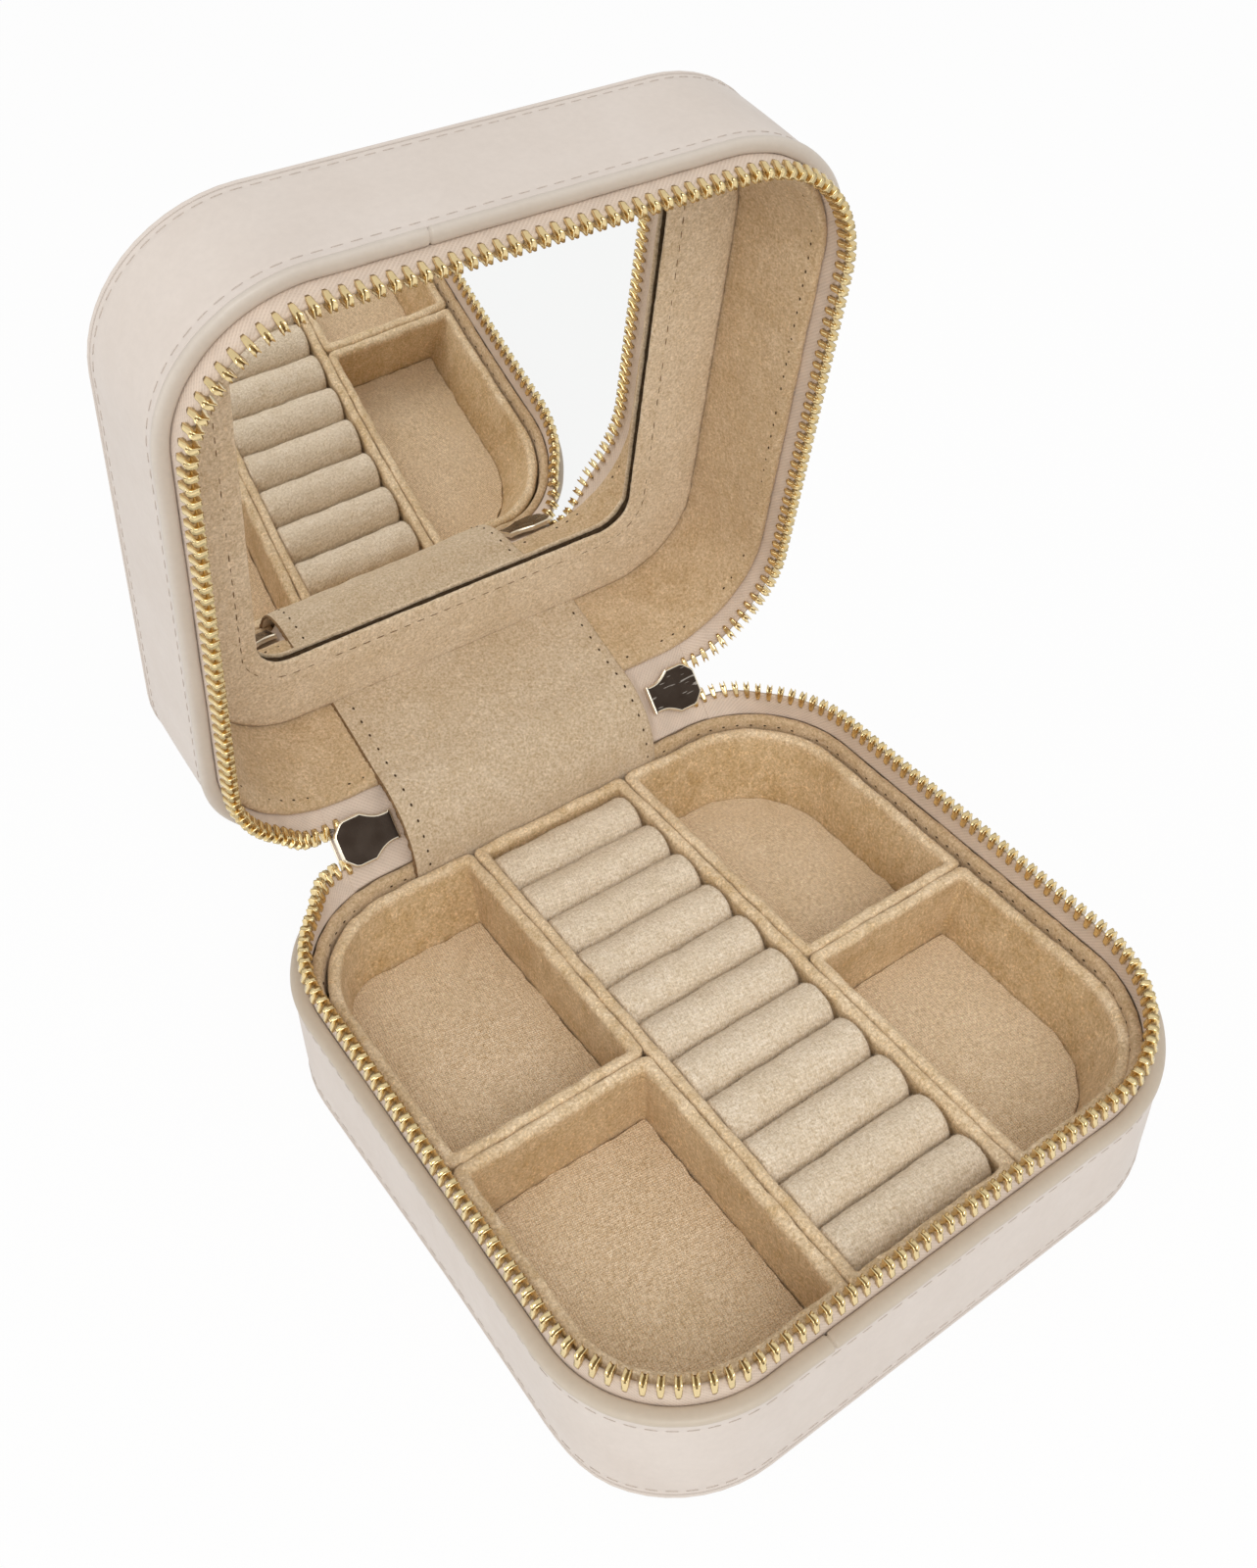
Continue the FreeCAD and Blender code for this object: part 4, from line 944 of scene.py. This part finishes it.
def tooth_shape():
    """One tooth in along, outward and up, with its clamp on the tape's edge at the origin.

    A forked section, two feet astride the tape, a neck and a head, is carried along the zip in six
    slices. The outer slices are smaller, which rounds its edges; the middle ones are lower, which
    leaves a socket between two prongs. The feet narrow downwards. Also returns which faces are the socket's.
    """
    foot = [[0.4, 0.1], [0.4, -1.1], [1.15, -1.1]]
    head = [[1.4, -0.2], [1.0, 0.8], [1.05, 1.8], [0.6, 2.3]]
    right = np.array(foot + head)
    section = np.concatenate([right, right[::-1] * [-1, 1]])
    middle = np.array([0.0, 0.4])
    above_neck = np.clip(section[:, 1] - 0.8, 0, None)
    # Each slice's place along the zip, its size and how far its head is sunk
    half = [(0.58, 0.84, 0), (0.46, 1, 0), (0.16, 1, 0.6)]
    slices = []
    for place, size, sunk in [(-place, size, sunk) for place, size, sunk in half] + half[::-1]:
        shape = middle + (section - middle) * [1 - (1 - size) * 0.6, size]
        shape[:, 1] -= sunk * above_neck
        along = place * np.interp(section[:, 1], [-1.1, 0.5], [0.62, 1.0])
        slices.append(np.column_stack([along, shape]) * MM)
    faces = tube_faces(6, len(section))
    slot, column = np.divmod(np.arange(len(faces)), len(section))
    # The faces at the bottom of the socket, which are given painted shade
    socket = (slot == 2) & (column >= 5) & (column <= 7)
    return (np.concatenate(slices), faces), socket


class CASE_OT_sliders(bpy.types.Operator):
    """Zip sliders with their dark undersides, the bridges on them and the pulls."""

    bl_idname = "case.sliders"
    bl_label = "Zip sliders"

    def execute(self, context):
        for hand, side in HANDS:
            self.slider(hand, side)
            paint(f"slider_bridge_{hand}", "gold_plating")
            paint(f"zip_pull_{hand}", "gold_plating")
        return {"FINISHED"}

    def slider(self, hand, side):
        """Two plates with bevelled edges, joined by a post; the inner plate's face is polished dark."""
        outline, inward = slider_outline()
        gap = 1.2 * MM
        thick = 1.0 * MM
        bevel = 0.42 * MM
        sunk = 0.2 * MM
        steps = [(0.1 * MM, gap), (0.0, gap + 0.12 * MM)]
        for angle in np.linspace(0, math.pi / 2, 5):
            steps.append((bevel * (1 - math.cos(angle)), gap + thick - bevel * 0.7 * (1 - math.sin(angle))))
        steps.append((bevel + 0.15 * MM, gap + thick))
        columns = len(outline)
        plate = tube_faces(len(steps), columns)
        # The plate's outer face and the ring next to it
        polished = np.zeros(len(plate), dtype=int)
        polished[6 * columns:7 * columns] = 1
        polished[-1] = 1
        points, faces, dark = [], [], []
        for sign in (-1, 1):
            first = sum(len(ring) for ring in points)
            points += [at_height(outline + inward * i, sign * z) for i, z in steps]
            faces += [[first + k for k in (face if sign > 0 else face[::-1])] for face in plate]
            dark.append(polished if sign < 0 else polished * 0)
        post = np.array([[1.8, -0.9], [5.0, -0.9], [5.0, 0.9], [1.8, 0.9]]) * MM
        first = sum(len(ring) for ring in points)
        points += [at_height(post, z) for z in (-gap - sunk, gap + sunk)]
        faces += [[first + k for k in face] for face in tube_faces(2, 4)]
        dark.append(np.zeros(6, dtype=int))
        along = np.array([side, 0.0, 0.0])
        outward = np.array([0.0, *OUTWARD])
        axes = np.stack([along, np.cross(outward, along), outward])
        placed = np.array([side * SLIDER_X, HINGE_Y, ZIP]) + np.concatenate(points) @ axes
        # The plates take the paler gold: a painted highlight along their bevelled edges
        piece = build(f"zip_slider_{hand}_metal", placed, "highlight_gold", f"slider_{hand}",
                      [f"zip_slider_{hand}"], faces, flip=True, smooth=False)
        second_finish(piece, "slider_underside", np.concatenate(dark))


def slider_outline():
    """A slider's plate seen flat, anticlockwise, and the inward direction at each point.

    Narrow tail at -X, hollow flanks, wide shoulders, cut corners and a straight mouth at +X.
    """
    half = SLIDER_HALF
    wide, tail, mouth = 4.9 * MM, 3.1 * MM, 2.8 * MM
    aft, fore = half - 6.4 * MM, half - 2.4 * MM
    hollow = 0.8 * MM
    share = np.linspace(0, 1, 10)
    flank = np.column_stack([aft - (aft + half) * share, wide - (wide - tail) * share])
    flank[:, 1] -= hollow * np.sin(math.pi * share)
    corner = np.array([[half, 0.0], [half, mouth * 0.8], [half - 0.35 * MM, mouth + 0.2 * MM],
                       [fore + 0.5 * MM, wide - 0.35 * MM], [fore - 0.4 * MM, wide], [aft + 0.6 * MM, wide]])
    upper = np.concatenate([corner, flank, [[-half, 0.0]]])
    outline = np.concatenate([upper, upper[1:-1][::-1] * [1, -1]])
    ahead = unit(np.roll(outline, -1, axis=0) - np.roll(outline, 1, axis=0))
    return outline, np.column_stack([-ahead[:, 1], ahead[:, 0]])


class CASE_OT_lining(bpy.types.Operator):
    """Padded suede on the walls of both halves, with its needle holes, and the mirror's suede frame."""

    bl_idname = "case.lining"
    bl_label = "Suede lining"

    # Heights of the lining's upper edge; the base's has sunk a little
    tops = {"base": LINING_TOP - 0.8 * MM, "lid": LINING_TOP}

    def execute(self, context):
        sizes = context.scene.case_sizes
        for half in HALVES:
            self.wall(half, sizes)
            self.wall_holes(half, sizes)
        self.mirror_frame(sizes)
        return {"FINISHED"}

    def wall(self, half, sizes):
        """A padded strip round the wall: a rolled upper edge and an inner face that swells a little.

        In the lid the face leans in towards the mirror.
        """
        radius = sizes.corner_radius
        inset = sizes.lining_inset
        right, left = (back_length(SPINE_HALF + gap, inset, radius) for gap in (-0.75 * MM, 0.1 * MM))
        along = np.linspace(right, case_length(inset, radius) - left, 640)
        path, normals = case_run(inset, along, radius)
        low, lean = (FRAME_LOW + 0.1 * MM, sizes.lid_lean) if half == "lid" else (FLOOR_TOP, 0.0)
        top = self.tops[half]
        thick = 1.95 * MM
        edge = thick / 2
        shoulder = top - edge * 0.8
        roll = np.linspace(0, math.pi, 11)
        rolled = np.column_stack([edge + edge * np.cos(roll), shoulder + edge * 0.8 * np.sin(roll)])
        height = np.linspace(shoulder, low, 24)[1:]
        share = (top - height) / (top - low)
        swell = -0.3 * MM * np.sin(math.pi * np.clip(share, 0, 1)) ** 0.6
        face = np.column_stack([swell - lean * share, height])
        points = swept(path, normals, np.concatenate([rolled, face, [[thick, low]]]))
        points[..., :2] += normals[:, None] * uneven(points, (0.10, 7, 5), (0.05, 2.5, 6))[..., None]
        piece = build_half(half, "wall_suede", points, "lining_suede", [f"{half}_wall_lining"],
                           flip=True)

    def wall_holes(self, half, sizes):
        """Needle holes along the lining's upper edge, on its inner face."""
        radius = sizes.corner_radius
        inset = sizes.lining_inset + (0.42 if half == "lid" else 0.14) * MM
        below_edge = 1.9 * MM
        start = back_length(SPINE_HALF + 2 * MM, inset, radius)
        total = case_length(inset, radius)
        along = np.linspace(start, total - start, int((total - 2 * start) / sizes.needle_pitch))
        path, normals = case_run(inset, along, radius)
        origin = at_height(path, self.tops[half] - below_edge)
        points, faces = stamped(needle_hole(), origin, level_axes(normals)[:, [0, 2, 1]])
        build_half(half, "lining_needle_holes", points, "needle_shadow", (), faces, flip=True)

    def mirror_frame(self, sizes):
        """The mirror's frame: loops from an undercut at the window, over a rolled edge, out to the wall."""
        straight, arc = 60, 22
        window, _ = rounded_loop(-45 * MM, 39.4 * MM, -44.5 * MM, 37.5 * MM, [7 * MM] * 4, straight, arc)
        border, _ = case_loop(9.1 * MM, sizes.corner_radius, straight, arc)
        span = np.linalg.norm(border - window, axis=1)[:, None]
        undercut = 1.2 * MM
        foot = FRAME_LOW + 0.03 * MM
        ledge = FRAME_LOW + 0.52 * MM
        top = FRAME_TOP + 0.15 * MM
        edge = (top - ledge) / 2
        steps = [(undercut, foot), (undercut, ledge - 0.05 * MM)]
        for angle in np.linspace(-math.pi / 2, math.pi / 2, 9):
            steps.append((edge * (1 - math.cos(angle)), ledge + edge + edge * math.sin(angle)))
        loops = [window + (border - window) * reach / span for reach, _ in steps]
        levels = [level for _, level in steps]
        for share in np.linspace(0, 1, 22)[1:]:
            place = edge / span + (1 - edge / span) * share
            loops.append(window + (border - window) * place)
            levels.append(top + 0.15 * MM * math.sin(math.pi * share) ** 0.5 - 0.3 * MM * share**14)
        loops.append(border)
        levels.append(foot)
        rings = stacked(loops, levels)
        cloth = rings[2:-1]
        cloth[..., 2] += uneven(cloth, (0.07, 6, 9), (0.04, 1.8, 8))
        rows, columns = rings.shape[:2]
        faces = grid_faces(rows, columns, True, True)
        piece = build("mirror_frame_suede", to_lid(rings), "surround_suede", "lid", ["mirror_frame"],
                      faces, flip=True)
        second_finish(piece, "card_shadow", np.arange(len(faces)) < 2 * columns)
        self.frame_stitches(window + (border - window) * 3.6 * MM / span, top + 0.09 * MM, sizes)

    def frame_stitches(self, loop, height, sizes):
        """A row of stitches evenly round a loop on the mirror's frame."""
        step = np.linalg.norm(np.roll(loop, -1, axis=0) - loop, axis=1)
        length = np.concatenate([[0], np.cumsum(step)])
        count = int(length[-1] / sizes.needle_pitch)
        along = np.arange(count) * length[-1] / count
        closed = np.concatenate([loop, loop[:1]])
        spots, next_spots = (np.column_stack([np.interp(along + ahead, length, closed[:, k]) for k in (0, 1)])
                             for ahead in (0, 0.2 * MM))
        heading = at_height(unit(next_spots - spots), 0.0)
        up = np.broadcast_to([0.0, 0.0, 1.0], heading.shape)
        axes = np.stack([heading, np.cross(up, heading), up], axis=1)
        thread = capsule(1.7 * MM, 0.26 * MM, 0.2 * MM, 6, 4)
        points, faces = stamped(thread, at_height(spots, height), axes)
        build("mirror_frame_stitches", to_lid(points), "raw_edge_and_shade", "lid", (), faces, flip=True)


def bent_line(face, bend, base_reach, lid_reach, count, lean=0.0):
    """A sheet's line across the hinge, in Y and Z, its normal towards the inside of the case, and its length.

    It runs straight up the base, round a bend and straight along the lid. face is how far inside the
    hinge line the sheet lies; bend is the radius of its fold; lean is how far it comes in by its end on
    the lid. Points are evenly spaced.
    """
    tangent = (face - bend) * math.tan(HALF_OPEN)
    lengths = np.array([base_reach + tangent, bend * LID_OPEN, lid_reach + tangent])
    along = np.linspace(0, lengths.sum(), count)
    first = np.clip(along, 0, lengths[0])
    turn = np.clip((along - lengths[0]) / bend, 0, LID_OPEN)
    last = np.clip(along - lengths[0] - lengths[1], 0, None)
    y = -face + bend * (1 - np.cos(turn)) + last * math.sin(LID_OPEN)
    z = -base_reach + first + bend * np.sin(turn) + last * math.cos(LID_OPEN)
    normal = np.column_stack([-np.cos(turn), np.sin(turn)])
    line = np.column_stack([HINGE_Y + y, ZIP + z]) + normal * (lean * last / lengths[2])[:, None]
    return line, normal, lengths.sum()


class CASE_OT_spine(bpy.types.Operator):
    """Leather and suede that fold across the hinge, with their stitches."""

    bl_idname = "case.spine"
    bl_label = "Hinge leather and suede"

    def execute(self, context):
        sizes = context.scene.case_sizes
        lean = sizes.lid_lean
        # Distance inside the hinge line, radius of the fold, reach on the base and on the lid
        suede = (7.95 * MM, 16.5 * MM, 17 * MM, ZIP - FRAME_TOP + 0.3 * MM)
        leather = (2.1 * MM, 6 * MM, 19 * MM, 19 * MM)
        # The suede sits a little to the left
        left, right = -SPINE_HALF - 2.8 * MM, SPINE_HALF - 0.7 * MM
        thick = 1.1 * MM
        self.sheet("spine_suede", "spine_lining", suede, lean, 0.9 * MM, "spine_suede", "suede", left, right)
        self.sheet("spine_leather_panel", "spine_leather", leather, 0.0, thick, "cream_leather",
                   "outer_leather", -SPINE_HALF, SPINE_HALF)
        pitch = sizes.stitch_pitch
        thread = capsule(pitch * 0.74, 0.42 * MM, 0.3 * MM)
        for (hand, side), hole_x in zip(HANDS, (left + 3.3 * MM, right - 2.0 * MM)):
            self.row(f"spine_needle_holes_{hand}", hole_x, suede, lean, 0.06 * MM, sizes.needle_pitch,
                     needle_hole(), "needle_shadow", "suede")
            self.row(f"spine_leather_stitches_{hand}", side * (SPINE_HALF - 2.4 * MM), leather, 0.0,
                     -thick - 0.02 * MM, pitch, thread, "tonal_thread", "outer_leather")
        return {"FINISHED"}

    def sheet(self, name, node, fold, lean, thick, finish, slot, left, right):
        """A folded sheet with rounded side edges: its line across the hinge, carried along X.

        Suede has a ragged cut edge on its left.
        """
        line, normal, length = bent_line(*fold, 120, lean)
        edge = 0.45 * thick
        x = np.concatenate([[left, left + edge], np.linspace(left + thick, right - thick, 70),
                            [right - edge, right]])
        lift = np.concatenate([[-0.3, -0.08], np.zeros(70), [-0.08, -0.3]]) * thick
        lifted = normal[:, None] * lift[None, :, None]
        front = line[:, None] + lifted
        back = (line - normal * thick)[:, None] - lifted
        spots = np.dstack([np.broadcast_to(x, front.shape[:2]), front])
        front = front + normal[:, None] * uneven(spots, (0.07, 11, 12), (0.03, 4, 13))[..., None]
        across = np.concatenate([x, x[::-1]])
        section = np.concatenate([front, back[:, ::-1]], axis=1)
        points = np.dstack([np.broadcast_to(across, section.shape[:2]), section])
        cut = slot == "suede"
        if cut:
            points[:, [0, -1], 0] += uneven(points[:, [0, -1]], (0.12, 1.6, 14))
        piece = build(name, points, finish, None, [node], flip=True)
        if cut:
            # The cut edge's faces are painted dark: the raw edge and the painted shade of the gap along it
            column = np.arange(len(piece.data.polygons)) % len(across)
            second_finish(piece, "raw_edge_and_shade", np.isin(column, (0, len(across) - 2, len(across) - 1)))
        bend_with_lid(piece)

    def row(self, name, x, fold, lean, lift, pitch, shape, finish, slot):
        """Copies of a small shape up a folded sheet's line, at one x and lifted off its inner face."""
        count = int(bent_line(*fold, 2)[2] / pitch)
        line, normal, _ = bent_line(*fold, count, lean)
        zero = np.zeros((len(line), 1))
        heading = np.concatenate([zero, unit(np.gradient(line, axis=0))], axis=1)
        out = np.concatenate([zero, normal], axis=1)
        axes = np.stack([heading, np.cross(out, heading), out], axis=1)
        points, faces = stamped(shape, np.concatenate([zero + x, line + normal * lift], axis=1), axes)
        bend_with_lid(build(name, points, finish, None, (), faces))


class CASE_OT_trays(bpy.types.Operator):
    """Suede-wrapped trays, their floor pads, and the ring rolls with the foam bed under them."""

    bl_idname = "case.trays"
    bl_label = "Trays and ring rolls"

    # Radius of an inner edge at a tray's tight corner, and steps along a side and round a corner
    tight = 0.7 * MM
    steps = (50, 14)

    def execute(self, context):
        sizes = context.scene.case_sizes
        big = sizes.corner_radius - 6.3 * MM
        small = 1.6 * MM
        lean = sizes.tray_lean
        # Corner radii from front right round to front left, leans of left, right, front and back walls
        shapes = {
            "front_right": ([big, small, small, small], (0, lean, lean, 0)),
            "back_right": ([small, big, small, small], (0, lean, 0, lean)),
            "back_left": ([small, small, big, small], (lean, 0, 0, lean)),
            "front_left": ([small, small, small, big], (lean, 0, lean, 0)),
        }
        for seed, (place, (radii, leans)) in enumerate(shapes.items()):
            self.tray(f"tray_{place}", radii, leans, sizes, 20 + seed)
            self.pad(f"tray_pad_{place}", radii, leans, sizes, 30 + seed)
        self.tray("ring_tray", [small] * 4, (0, 0, 0, 0), sizes, 27)
        self.bed()
        for number in range(1, 12):
            self.roll(number, sizes)
        return {"FINISHED"}

    def span(self, node):
        """Left, right, front and back of a frame node."""
        low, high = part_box(node)
        return np.array([low.x, high.x, low.y, high.y])

    def inner_radii(self, radii, wall, rounded=None):
        """Corner radii inside a wall; rounded, if given, is that of the round corner."""
        return [rounded or radius - wall if radius > wall else self.tight for radius in radii]

    def foot_radii(self, node, radii, wall):
        """Corner radii at a tray's floor; the back left tray's round corner is tighter than at its rim."""
        return self.inner_radii(radii, wall, 8 * MM if node.endswith("back_left") else None)

    def tray(self, node, radii, leans, sizes, seed):
        """A box with soft walls: outer loop up, over a rim that is rounder inside, inner loop in and down.

        The outer loop swells near the rim, so that neighbouring trays nearly touch there.
        """
        wall = sizes.tray_wall
        shoulder, rim = 0.85 * MM, 1.15 * MM
        floor = PAD_LOW - 0.05 * MM
        outside = self.span(node)
        inside = outside + np.array([1, -1, 1, -1]) * wall
        at_floor = inside + np.array([1, -1, 1, -1]) * leans
        outer, outward = rounded_loop(*outside, radii, *self.steps)
        mouth, _ = rounded_loop(*inside, self.inner_radii(radii, wall), *self.steps)
        foot, _ = rounded_loop(*at_floor, self.foot_radii(node, radii, wall), *self.steps)
        loops, levels = [], []
        for z in np.linspace(TRAY_LOW, TRAY_TOP - shoulder, 14):
            loops.append(outer + outward * 0.14 * MM * smoothstep((z - TRAY_TOP + 4 * MM) / (3 * MM)))
            levels.append(z)
        swollen = loops[-1]
        for angle in np.linspace(0, math.pi / 2, 6)[1:]:
            loops.append(swollen + (mouth - swollen) * shoulder / wall * (1 - math.cos(angle)))
            levels.append(TRAY_TOP - shoulder * (1 - math.sin(angle)))
        for angle in np.linspace(math.pi / 2, 0, 8)[:-1]:
            loops.append(mouth + (swollen - mouth) * rim / wall * (1 - math.cos(angle)))
            levels.append(TRAY_TOP - rim * (1 - math.sin(angle)))
        for share in np.linspace(0, 1, 16):
            loops.append(mouth + (foot - mouth) * share)
            levels.append(TRAY_TOP - rim + (floor - TRAY_TOP + rim) * share)
        rings = stacked(loops, levels)
        high = np.clip((rings[..., 2] - TRAY_TOP + 6 * MM) / (6 * MM), 0, 1)
        for axis in (0, 1):
            rings[..., axis] += high * uneven(rings, (0.11, 7, seed + axis), (0.05, 2.4, seed + 50 + axis))
        rings[..., 2] += high * 0.13 * MM * (ripple(rings, 8 * MM, seed + 200) - 0.8)
        build(f"{node}_suede", rings, "tray_suede", "base", [node], flip=True)
        fade = (TRAY_TOP, 2.2 * MM, 2.0 * MM, 1.5)
        fibres(f"{node}_nap", rings, fade, 14e6, sizes.fibre, seed + 300, "rim_nap")

    def pad(self, node, radii, leans, sizes, seed):
        """A floor pad: loops drawn in from its edge to its middle, over a rounded edge and a slight crown.

        Its edge is pressed against the walls, further out where a wall leans.
        """
        pressed = 0.55 * MM + 0.13 * np.array(leans)
        edge = 0.35 * MM
        crown = 0.2 * MM
        left, right, front, back = self.span(node) + [-1, 1, -1, 1] * pressed
        radii = self.foot_radii(node, radii, sizes.tray_wall)
        outline, outward = rounded_loop(left, right, front, back, radii, *self.steps)
        ragged = uneven(at_height(outline, PAD_TOP), (0.16, 5, seed + 20)) - 0.1 * MM
        outline = outline + outward * ragged[:, None]
        middle = np.array([(left + right) / 2, (front + back) / 2])
        reach = np.linalg.norm(outline - middle, axis=1)[:, None]
        loops, levels = [outline], [PAD_LOW]
        for angle in np.linspace(0, math.pi / 2, 6):
            drawn = edge * (1 - math.cos(angle)) / reach
            loops.append(outline + (middle - outline) * drawn)
            levels.append(PAD_TOP - edge + edge * math.sin(angle))
        drawn = edge / reach
        for share in np.linspace(0, 1, 26)[1:-1]:
            loops.append(outline + (middle - outline) * (drawn + (1 - drawn) * share))
            levels.append(PAD_TOP + crown * math.sin(math.pi / 2 * share) ** 0.7)
        rings = stacked(loops, levels)
        rings[1:, :, 2] += uneven(rings[1:], (0.07, 9, seed))
        piece = build(f"{node}_cloth", rings, "pad_cloth", "base", [node], flip=True)

    def bed(self):
        """The foam bed under the rolls: a block with soft shoulders."""
        low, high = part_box("ring_foam_bed")
        shoulder = 0.6 * MM
        outline, normals = rounded_loop(*self.span("ring_foam_bed"), [self.tight] * 4, 30, 5)
        loops, levels = [outline], [low.z]
        for angle in np.linspace(0, math.pi / 2, 5):
            loops.append(outline - normals * shoulder * (1 - math.cos(angle)))
            levels.append(high.z - shoulder * (1 - math.sin(angle)))
        piece = build("ring_bed_foam", stacked(loops, levels), "roll_suede", "base",
                      ["ring_foam_bed"], flip=True)

    def roll(self, number, sizes):
        """A foam roll: a round section along X that closes in over its soft ends, a little uneven."""
        node = f"ring_roll_{number}"
        low, high = (np.array(corner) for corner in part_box(node))
        longer = 0.3 * MM
        half = (high - low)[0] / 2 + longer
        radius = (high - low)[2] / 2
        centre = (low + high) / 2 - [longer, 0, 0]
        end = 1.1 * MM
        share = np.linspace(-1, 1, 61)
        along = np.sign(share) * (1 - (1 - np.abs(share)) ** 1.7) * half
        past = np.clip((np.abs(along) - (half - end)) / end, 0, 1)
        size = (radius - end * (1 - np.sqrt(np.clip(1 - past**2, 0, 1))))[:, None]
        turn = np.linspace(0, 2 * math.pi, 48, endpoint=False)[None]
        out = np.stack([0 * size * turn, np.cos(turn) + 0 * size, np.sin(turn) + 0 * size], axis=-1)
        points = centre + out * [0, 1.015, 1] * size[..., None]
        points[..., 0] += along[:, None]
        lumps = uneven(points, (0.09, 9, 40 + number), (0.05, 2.0, 60 + number)) - 0.1 * MM
        points = points + out * lumps[..., None]
        piece = build(f"{node}_suede", points, "roll_suede", "base", [node], flip=True)
        fade = (centre[2], 1.5 * MM, 2 * MM, 1)
        fibres(f"{node}_nap", points, fade, 8e6, sizes.fibre, 400 + number, "roll_nap")


class CASE_OT_stage(bpy.types.Operator):
    """Pale floor, soft light and the camera at the photograph's angle."""

    bl_idname = "case.stage"
    bl_label = "Stage"

    # The photograph's frame and where its optical axis meets it, in pixels
    picture = (1283, 1600)
    axis_pixel = (678.0, 633.7)
    focal_pixels = 1663.5
    camera_at = (-122.15 * MM, -149.95 * MM, 258.82 * MM)
    azimuth = 36.11
    elevation = 38.06
    # Each lamp's place, size and power; all look at one spot
    aim = np.array([0, 0, 0.05])
    lamps = {"key": ((-0.34, -0.76, 0.88), 0.7, 4.8), "fill": ((-0.85, 0.0, 0.14), 0.5, 0.9)}

    def execute(self, context):
        scene = context.scene
        scene.view_settings.view_transform = "Standard"
        self.camera(scene)
        self.floor()
        self.world(scene)
        for name, (place, size, power) in self.lamps.items():
            self.lamp(scene, name, place, size, power)
        return {"FINISHED"}

    def camera(self, scene):
        """A camera whose shift puts the optical axis where the photograph has it."""
        wide, high = self.picture
        data = bpy.data.cameras.new("camera")
        data.sensor_fit = "VERTICAL"
        data.sensor_height = 36
        data.lens = self.focal_pixels / high * data.sensor_height
        data.shift_x = (wide / 2 - self.axis_pixel[0]) / high
        data.shift_y = (self.axis_pixel[1] - high / 2) / high
        data.clip_start = 10 * MM
        camera = bpy.data.objects.new("camera", data)
        camera.location = self.camera_at
        camera.rotation_euler = (math.radians(90 - self.elevation), 0, math.radians(-self.azimuth))
        scene.collection.objects.link(camera)
        scene.camera = camera

    def floor(self):
        """A wide pale floor. The camera and the mirror see it nearly white, and it keeps a faint shadow."""
        reach = 3.0
        below = -0.05 * MM
        corners = np.array([[-reach, -reach], [reach, -reach], [reach, reach], [-reach, reach]])
        finish = Finish("pale_floor", Roughness=0.9, Base_Color=(0.86, 0.86, 0.86), Specular_IOR_Level=0.1)
        rays = finish.node("ShaderNodeLightPath").outputs
        seen = finish.math("MAXIMUM", rays["Is Camera Ray"], rays["Is Glossy Ray"])
        seen = finish.math("MAXIMUM", seen, rays["Is Transmission Ray"])
        white = finish.node("ShaderNodeEmission", {"Color": (1.0, 1.0, 1.0), "Strength": 1.0})
        inputs = {0: finish.math("MULTIPLY", seen, 0.93), 1: finish.shader.outputs[0], 2: white.outputs[0]}
        finish.output("Material Output", finish.node("ShaderNodeMixShader", inputs).outputs[0])
        build("floor", at_height(corners, below), "pale_floor", faces=[[0, 1, 2, 3]], smooth=False)

    def world(self, scene):
        """Even studio surroundings that light softly, and that the camera sees as white."""
        world = bpy.data.worlds.new("studio")
        scene.world = world
        world.use_nodes = True
        nodes = Nodes(world.node_tree)
        soft = nodes.tree.nodes["Background"]
        nodes.give(soft.inputs["Color"], (1.0, 0.99, 0.975))
        nodes.give(soft.inputs["Strength"], 0.77)
        white = nodes.node("ShaderNodeBackground", {"Color": (1.0, 1.0, 1.0), "Strength": 1.0})
        rays = nodes.node("ShaderNodeLightPath").outputs
        seen = nodes.math("MAXIMUM", rays["Is Camera Ray"], rays["Is Transmission Ray"])
        inputs = {0: seen, 1: soft.outputs[0], 2: white.outputs[0]}
        nodes.output("World Output", nodes.node("ShaderNodeMixShader", inputs).outputs[0])

    def lamp(self, scene, name, place, size, power):
        """A soft round lamp whose Z axis points back from its aim and whose X axis is level."""
        data = bpy.data.lights.new(name, "AREA")
        data.shape = "DISK"
        data.size = size
        data.energy = power
        data.color = (1.0, 0.985, 0.965)
        lamp = bpy.data.objects.new(name, data)
        back = unit(place - self.aim)
        right = unit(np.cross([0, 0, 1], back))
        turn = np.stack([right, np.cross(back, right), back], axis=1)
        lamp.matrix_world = Matrix.Translation(place) @ Matrix(turn.tolist()).to_4x4()
        scene.collection.objects.link(lamp)


class CASE_PT_panel(bpy.types.Panel):
    """The case's sizes, colours and steps."""

    bl_idname = "CASE_PT_panel"
    bl_label = "Jewellery case"
    bl_space_type = "VIEW_3D"
    bl_region_type = "UI"
    bl_category = "Case"

    def draw(self, context):
        for group in (context.scene.case_sizes, context.scene.case_colours):
            column = self.layout.column()
            for name in group.__annotations__:
                column.prop(group, name)
        for step in STEPS:
            self.layout.operator(step.bl_idname)


STEPS = (
    CASE_OT_finishes,
    CASE_OT_stage,
    CASE_OT_leather,
    CASE_OT_zip,
    CASE_OT_sliders,
    CASE_OT_lining,
    CASE_OT_spine,
    CASE_OT_trays,
)
CLASSES = (CaseSizes, CaseColours, *STEPS, CASE_PT_panel)


def register():
    for cls in CLASSES:
        bpy.utils.register_class(cls)
    bpy.types.Scene.case_sizes = PointerProperty(type=CaseSizes)
    bpy.types.Scene.case_colours = PointerProperty(type=CaseColours)


def unregister():
    del bpy.types.Scene.case_colours
    del bpy.types.Scene.case_sizes
    for cls in reversed(CLASSES):
        bpy.utils.unregister_class(cls)


def main():
    """Dress the frame."""
    register()
    for step in STEPS:
        group, name = step.bl_idname.split(".")
        getattr(getattr(bpy.ops, group), name)()


if __name__ == "__main__":
    main()
